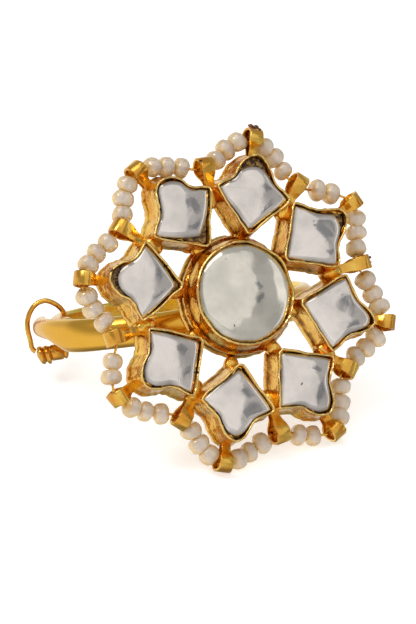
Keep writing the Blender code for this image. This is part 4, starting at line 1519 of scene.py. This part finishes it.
def view_axes(stage):
    """The camera's right, up and backward directions."""
    a, e, roll = stage.azimuth, stage.elevation, stage.roll
    back = Vector((math.sin(a) * math.cos(e), -math.cos(a) * math.cos(e), math.sin(e)))
    level = Vector((math.cos(a), math.sin(a), 0))
    upright = back.cross(level)
    right = level * math.cos(roll) + upright * math.sin(roll)
    return right, upright * math.cos(roll) - level * math.sin(roll), back


def build_stage(look):
    """The camera, the floor, the lights and the cards that the stones mirror."""
    stage = look.stage
    right, up, back = axes = view_axes(stage)
    aim = Vector(stage.aim)
    add_camera(stage, axes)
    add_floor()
    bpy.context.scene.world = studio_world(right)
    # Each light's place, the way its height runs, its width and height in metres, and its brightness.
    key = (back * 0.9 + right * 0.28 + up * 0.33).normalized()
    for name, place, level, width, height, brightness in (
        ("key_softbox", aim + key * LIGHT_REACH, up, 0.7, 0.7, 0.42),
        ("top_softbox", Vector((-0.1, 0.1, 0.6)), Vector((0, 1, 0)), 0.35, 0.35, 1.8),
        ("edge_softbox", (right * 0.99 + back * 0.06 + up * 0.12) * LIGHT_REACH, up, 0.1, 0.5, 0.6),
        ("spark_softbox", (up * 0.62 + back * 0.55 - right * 0.55) * LIGHT_REACH, up, 0.1, 0.1, 14.0),
    ):
        add_softbox(name, place, level, width, height, brightness)
    # Each card's direction from the ring, and its width and height in mm.
    card = grey_card("grey card")
    for name, way, width, height in (
        ("upper_flag", right * 0.793 + up * 0.326 + back * 0.515, 16, 18),
        ("lower_flag", right * 0.835 + up * 0.087 + back * 0.543, 26, 14),
    ):
        add_flag(name, aim, way.normalized(), width * MM, height * MM, card)


def add_camera(stage, axes):
    """The camera at the photograph's angle."""
    right, up, back = axes
    scene = bpy.context.scene
    camera_data = bpy.data.cameras.new("camera")
    camera_data.lens = stage.lens
    camera_data.sensor_width = 36
    camera_data.sensor_fit = "AUTO"
    camera_data.clip_start = 0.01
    camera = bpy.data.objects.new("camera", camera_data)
    scene.collection.objects.link(camera)
    turn = Matrix((right, up, back)).transposed().to_4x4()
    camera.matrix_world = Matrix.Translation(Vector(stage.aim) + back * stage.distance) @ turn
    scene.camera = camera
    scene.view_settings.view_transform = "Standard"


def add_sheet(name, corners, finish):
    """A flat sheet of the studio."""
    mesh = bpy.data.meshes.new(name)
    mesh.from_pydata([tuple(corner) for corner in corners], [], [(0, 1, 2, 3)])
    mesh.materials.append(finish)
    sheet = bpy.data.objects.new(name, mesh)
    bpy.context.scene.collection.objects.link(sheet)
    return sheet


def add_floor():
    """The light table on which the ring lies. Glossy reflections show the world in its place."""
    corners = [(FLOOR_HALF * a, FLOOR_HALF * b, 0) for a, b in SHEET_CORNERS]
    floor = add_sheet("floor", corners, light_table("white light table"))
    floor.visible_glossy = False


def add_flag(name, aim, way, width, height, finish):
    """A grey card beside the ring, which only its reflections show."""
    middle = aim + way * FLAG_REACH
    side = way.cross(Vector((0, 0, 1))).normalized()
    rise = side.cross(way)
    corners = [middle + side * (width / 2 * a) + rise * (height / 2 * b) for a, b in SHEET_CORNERS]
    card = add_sheet(name, corners, finish)
    card.visible_camera = False
    card.visible_shadow = False


def studio_world(right):
    """Soft grey surroundings with a bright table round the ring, darker on the camera's right."""
    world = bpy.data.worlds.new("studio")
    world.use_nodes = True
    tree = world.node_tree
    way = add_node(tree, "ShaderNodeTexCoord").outputs["Generated"]
    rightward = dot_product(tree, way, right)
    upward = add_node(tree, "ShaderNodeSeparateXYZ", {0: way}).outputs[2]
    dim = stretched(tree, rightward, 0.1, 0.9, 0.5, 0.44)
    near = stretched(tree, upward, -0.95, -0.7, -0.2, 0.62)
    far = stretched(tree, upward, 0.05, 0.4, 1.0, 0.0)
    lit = stretched(tree, rightward, -0.1, 0.7, 1.0, 0.1)
    table_light = maths(tree, "MULTIPLY", maths(tree, "MULTIPLY", near, far), lit)
    strength = maths(tree, "ADD", dim, table_light)
    fill_sockets(tree, tree.nodes["Background"], {"Color": linear("#F4F4F6"), "Strength": strength})
    return world


def add_softbox(name, place, up, width, height, brightness):
    """A soft rectangular light that faces the ring. brightness is what its face shows."""
    light = bpy.data.lights.new(name, "AREA")
    light.shape = "RECTANGLE"
    light.size = width
    light.size_y = height
    light.energy = brightness * math.pi * width * height
    back = place.normalized()
    side = up.cross(back).normalized()
    turn = Matrix((side, back.cross(side), back)).transposed().to_4x4()
    obj = bpy.data.objects.new(name, light)
    obj.matrix_world = Matrix.Translation(place) @ turn
    bpy.context.scene.collection.objects.link(obj)


# Operators and panel.


class RingOperator:
    """What every operator of the ring shares."""

    bl_options = {"REGISTER", "UNDO"}

    def execute(self, context):
        """Build the piece from the scene's settings."""
        type(self).build(context.scene.ring_look)
        return {"FINISHED"}


class RING_OT_shank(RingOperator, bpy.types.Operator):
    """Build the open strip round the finger"""

    bl_idname = "ring.shank"
    bl_label = "Shank"
    build = staticmethod(build_shank)


class RING_OT_petal_boxes(RingOperator, bpy.types.Operator):
    """Build the eight hand-bent boxes of the petals"""

    bl_idname = "ring.petal_boxes"
    bl_label = "Petal boxes"
    build = staticmethod(build_petal_boxes)


class RING_OT_collet(RingOperator, bpy.types.Operator):
    """Build the centre collet"""

    bl_idname = "ring.collet"
    bl_label = "Centre collet"
    build = staticmethod(build_collet)


class RING_OT_joints(RingOperator, bpy.types.Operator):
    """Build the solder between collet, boxes and loops"""

    bl_idname = "ring.joints"
    bl_label = "Solder joints"
    build = staticmethod(build_joints)


class RING_OT_loops(RingOperator, bpy.types.Operator):
    """Build the loops of flat strip on the rim"""

    bl_idname = "ring.loops"
    bl_label = "Rim loops"
    build = staticmethod(build_loops)


class RING_OT_lac(RingOperator, bpy.types.Operator):
    """Build the brown resin round the stones"""

    bl_idname = "ring.lac"
    bl_label = "Lac bed"
    build = staticmethod(build_lac)


class RING_OT_foil(RingOperator, bpy.types.Operator):
    """Build the torn gold foil at the stones' edges"""

    bl_idname = "ring.foil"
    bl_label = "Foil edges"
    build = staticmethod(build_foil)


class RING_OT_crystals(RingOperator, bpy.types.Operator):
    """Build the centre crystal and the petal crystals"""

    bl_idname = "ring.crystals"
    bl_label = "Crystals"
    build = staticmethod(build_crystals)


class RING_OT_pearls(RingOperator, bpy.types.Operator):
    """Build the seed pearls"""

    bl_idname = "ring.pearls"
    bl_label = "Seed pearls"
    build = staticmethod(build_pearls)


class RING_OT_wire(RingOperator, bpy.types.Operator):
    """Build the wire that carries the pearls"""

    bl_idname = "ring.wire"
    bl_label = "Threading wire"
    build = staticmethod(build_wire)


class RING_OT_wire_ends(RingOperator, bpy.types.Operator):
    """Build the threading wire's wound ends"""

    bl_idname = "ring.wire_ends"
    bl_label = "Wire ends"
    build = staticmethod(build_wire_ends)


class RING_OT_keeper(RingOperator, bpy.types.Operator):
    """Build the keeper's bow and its sleeve"""

    bl_idname = "ring.keeper"
    bl_label = "Keeper"
    build = staticmethod(build_keeper)


class RING_OT_stage(RingOperator, bpy.types.Operator):
    """Set up the floor, the lights and the camera"""

    bl_idname = "ring.stage"
    bl_label = "Stage"
    build = staticmethod(build_stage)


OPERATORS = (
    RING_OT_shank,
    RING_OT_petal_boxes,
    RING_OT_collet,
    RING_OT_joints,
    RING_OT_loops,
    RING_OT_lac,
    RING_OT_foil,
    RING_OT_crystals,
    RING_OT_pearls,
    RING_OT_wire,
    RING_OT_wire_ends,
    RING_OT_keeper,
    RING_OT_stage,
)


class RING_PT_panel(bpy.types.Panel):
    """Lists the ring's settings and pieces"""

    bl_idname = "RING_PT_panel"
    bl_label = "Flower ring"
    bl_space_type = "VIEW_3D"
    bl_region_type = "UI"
    bl_category = "Flower ring"

    def draw(self, context):
        """Draw the settings group by group, then a button for each operator."""
        look = context.scene.ring_look
        for group in (look.flower, look.pearls, look.stage):
            box = self.layout.box()
            for key in group.bl_rna.properties.keys():
                if key not in ("rna_type", "name"):
                    box.prop(group, key)
        for operator in OPERATORS:
            self.layout.operator(operator.bl_idname)


CLASSES = (FlowerLook, PearlLook, StageLook, RingLook, *OPERATORS, RING_PT_panel)


def register():
    """Registers the classes and the scene's settings."""
    for cls in CLASSES:
        bpy.utils.register_class(cls)
    bpy.types.Scene.ring_look = bpy.props.PointerProperty(type=RingLook)


def unregister():
    """Takes them away again."""
    del bpy.types.Scene.ring_look
    for cls in reversed(CLASSES):
        bpy.utils.unregister_class(cls)


def main():
    """Builds every piece in order."""
    register()
    for operator in OPERATORS:
        group, name = operator.bl_idname.split(".")
        getattr(getattr(bpy.ops, group), name)()


if __name__ == "__main__":
    main()
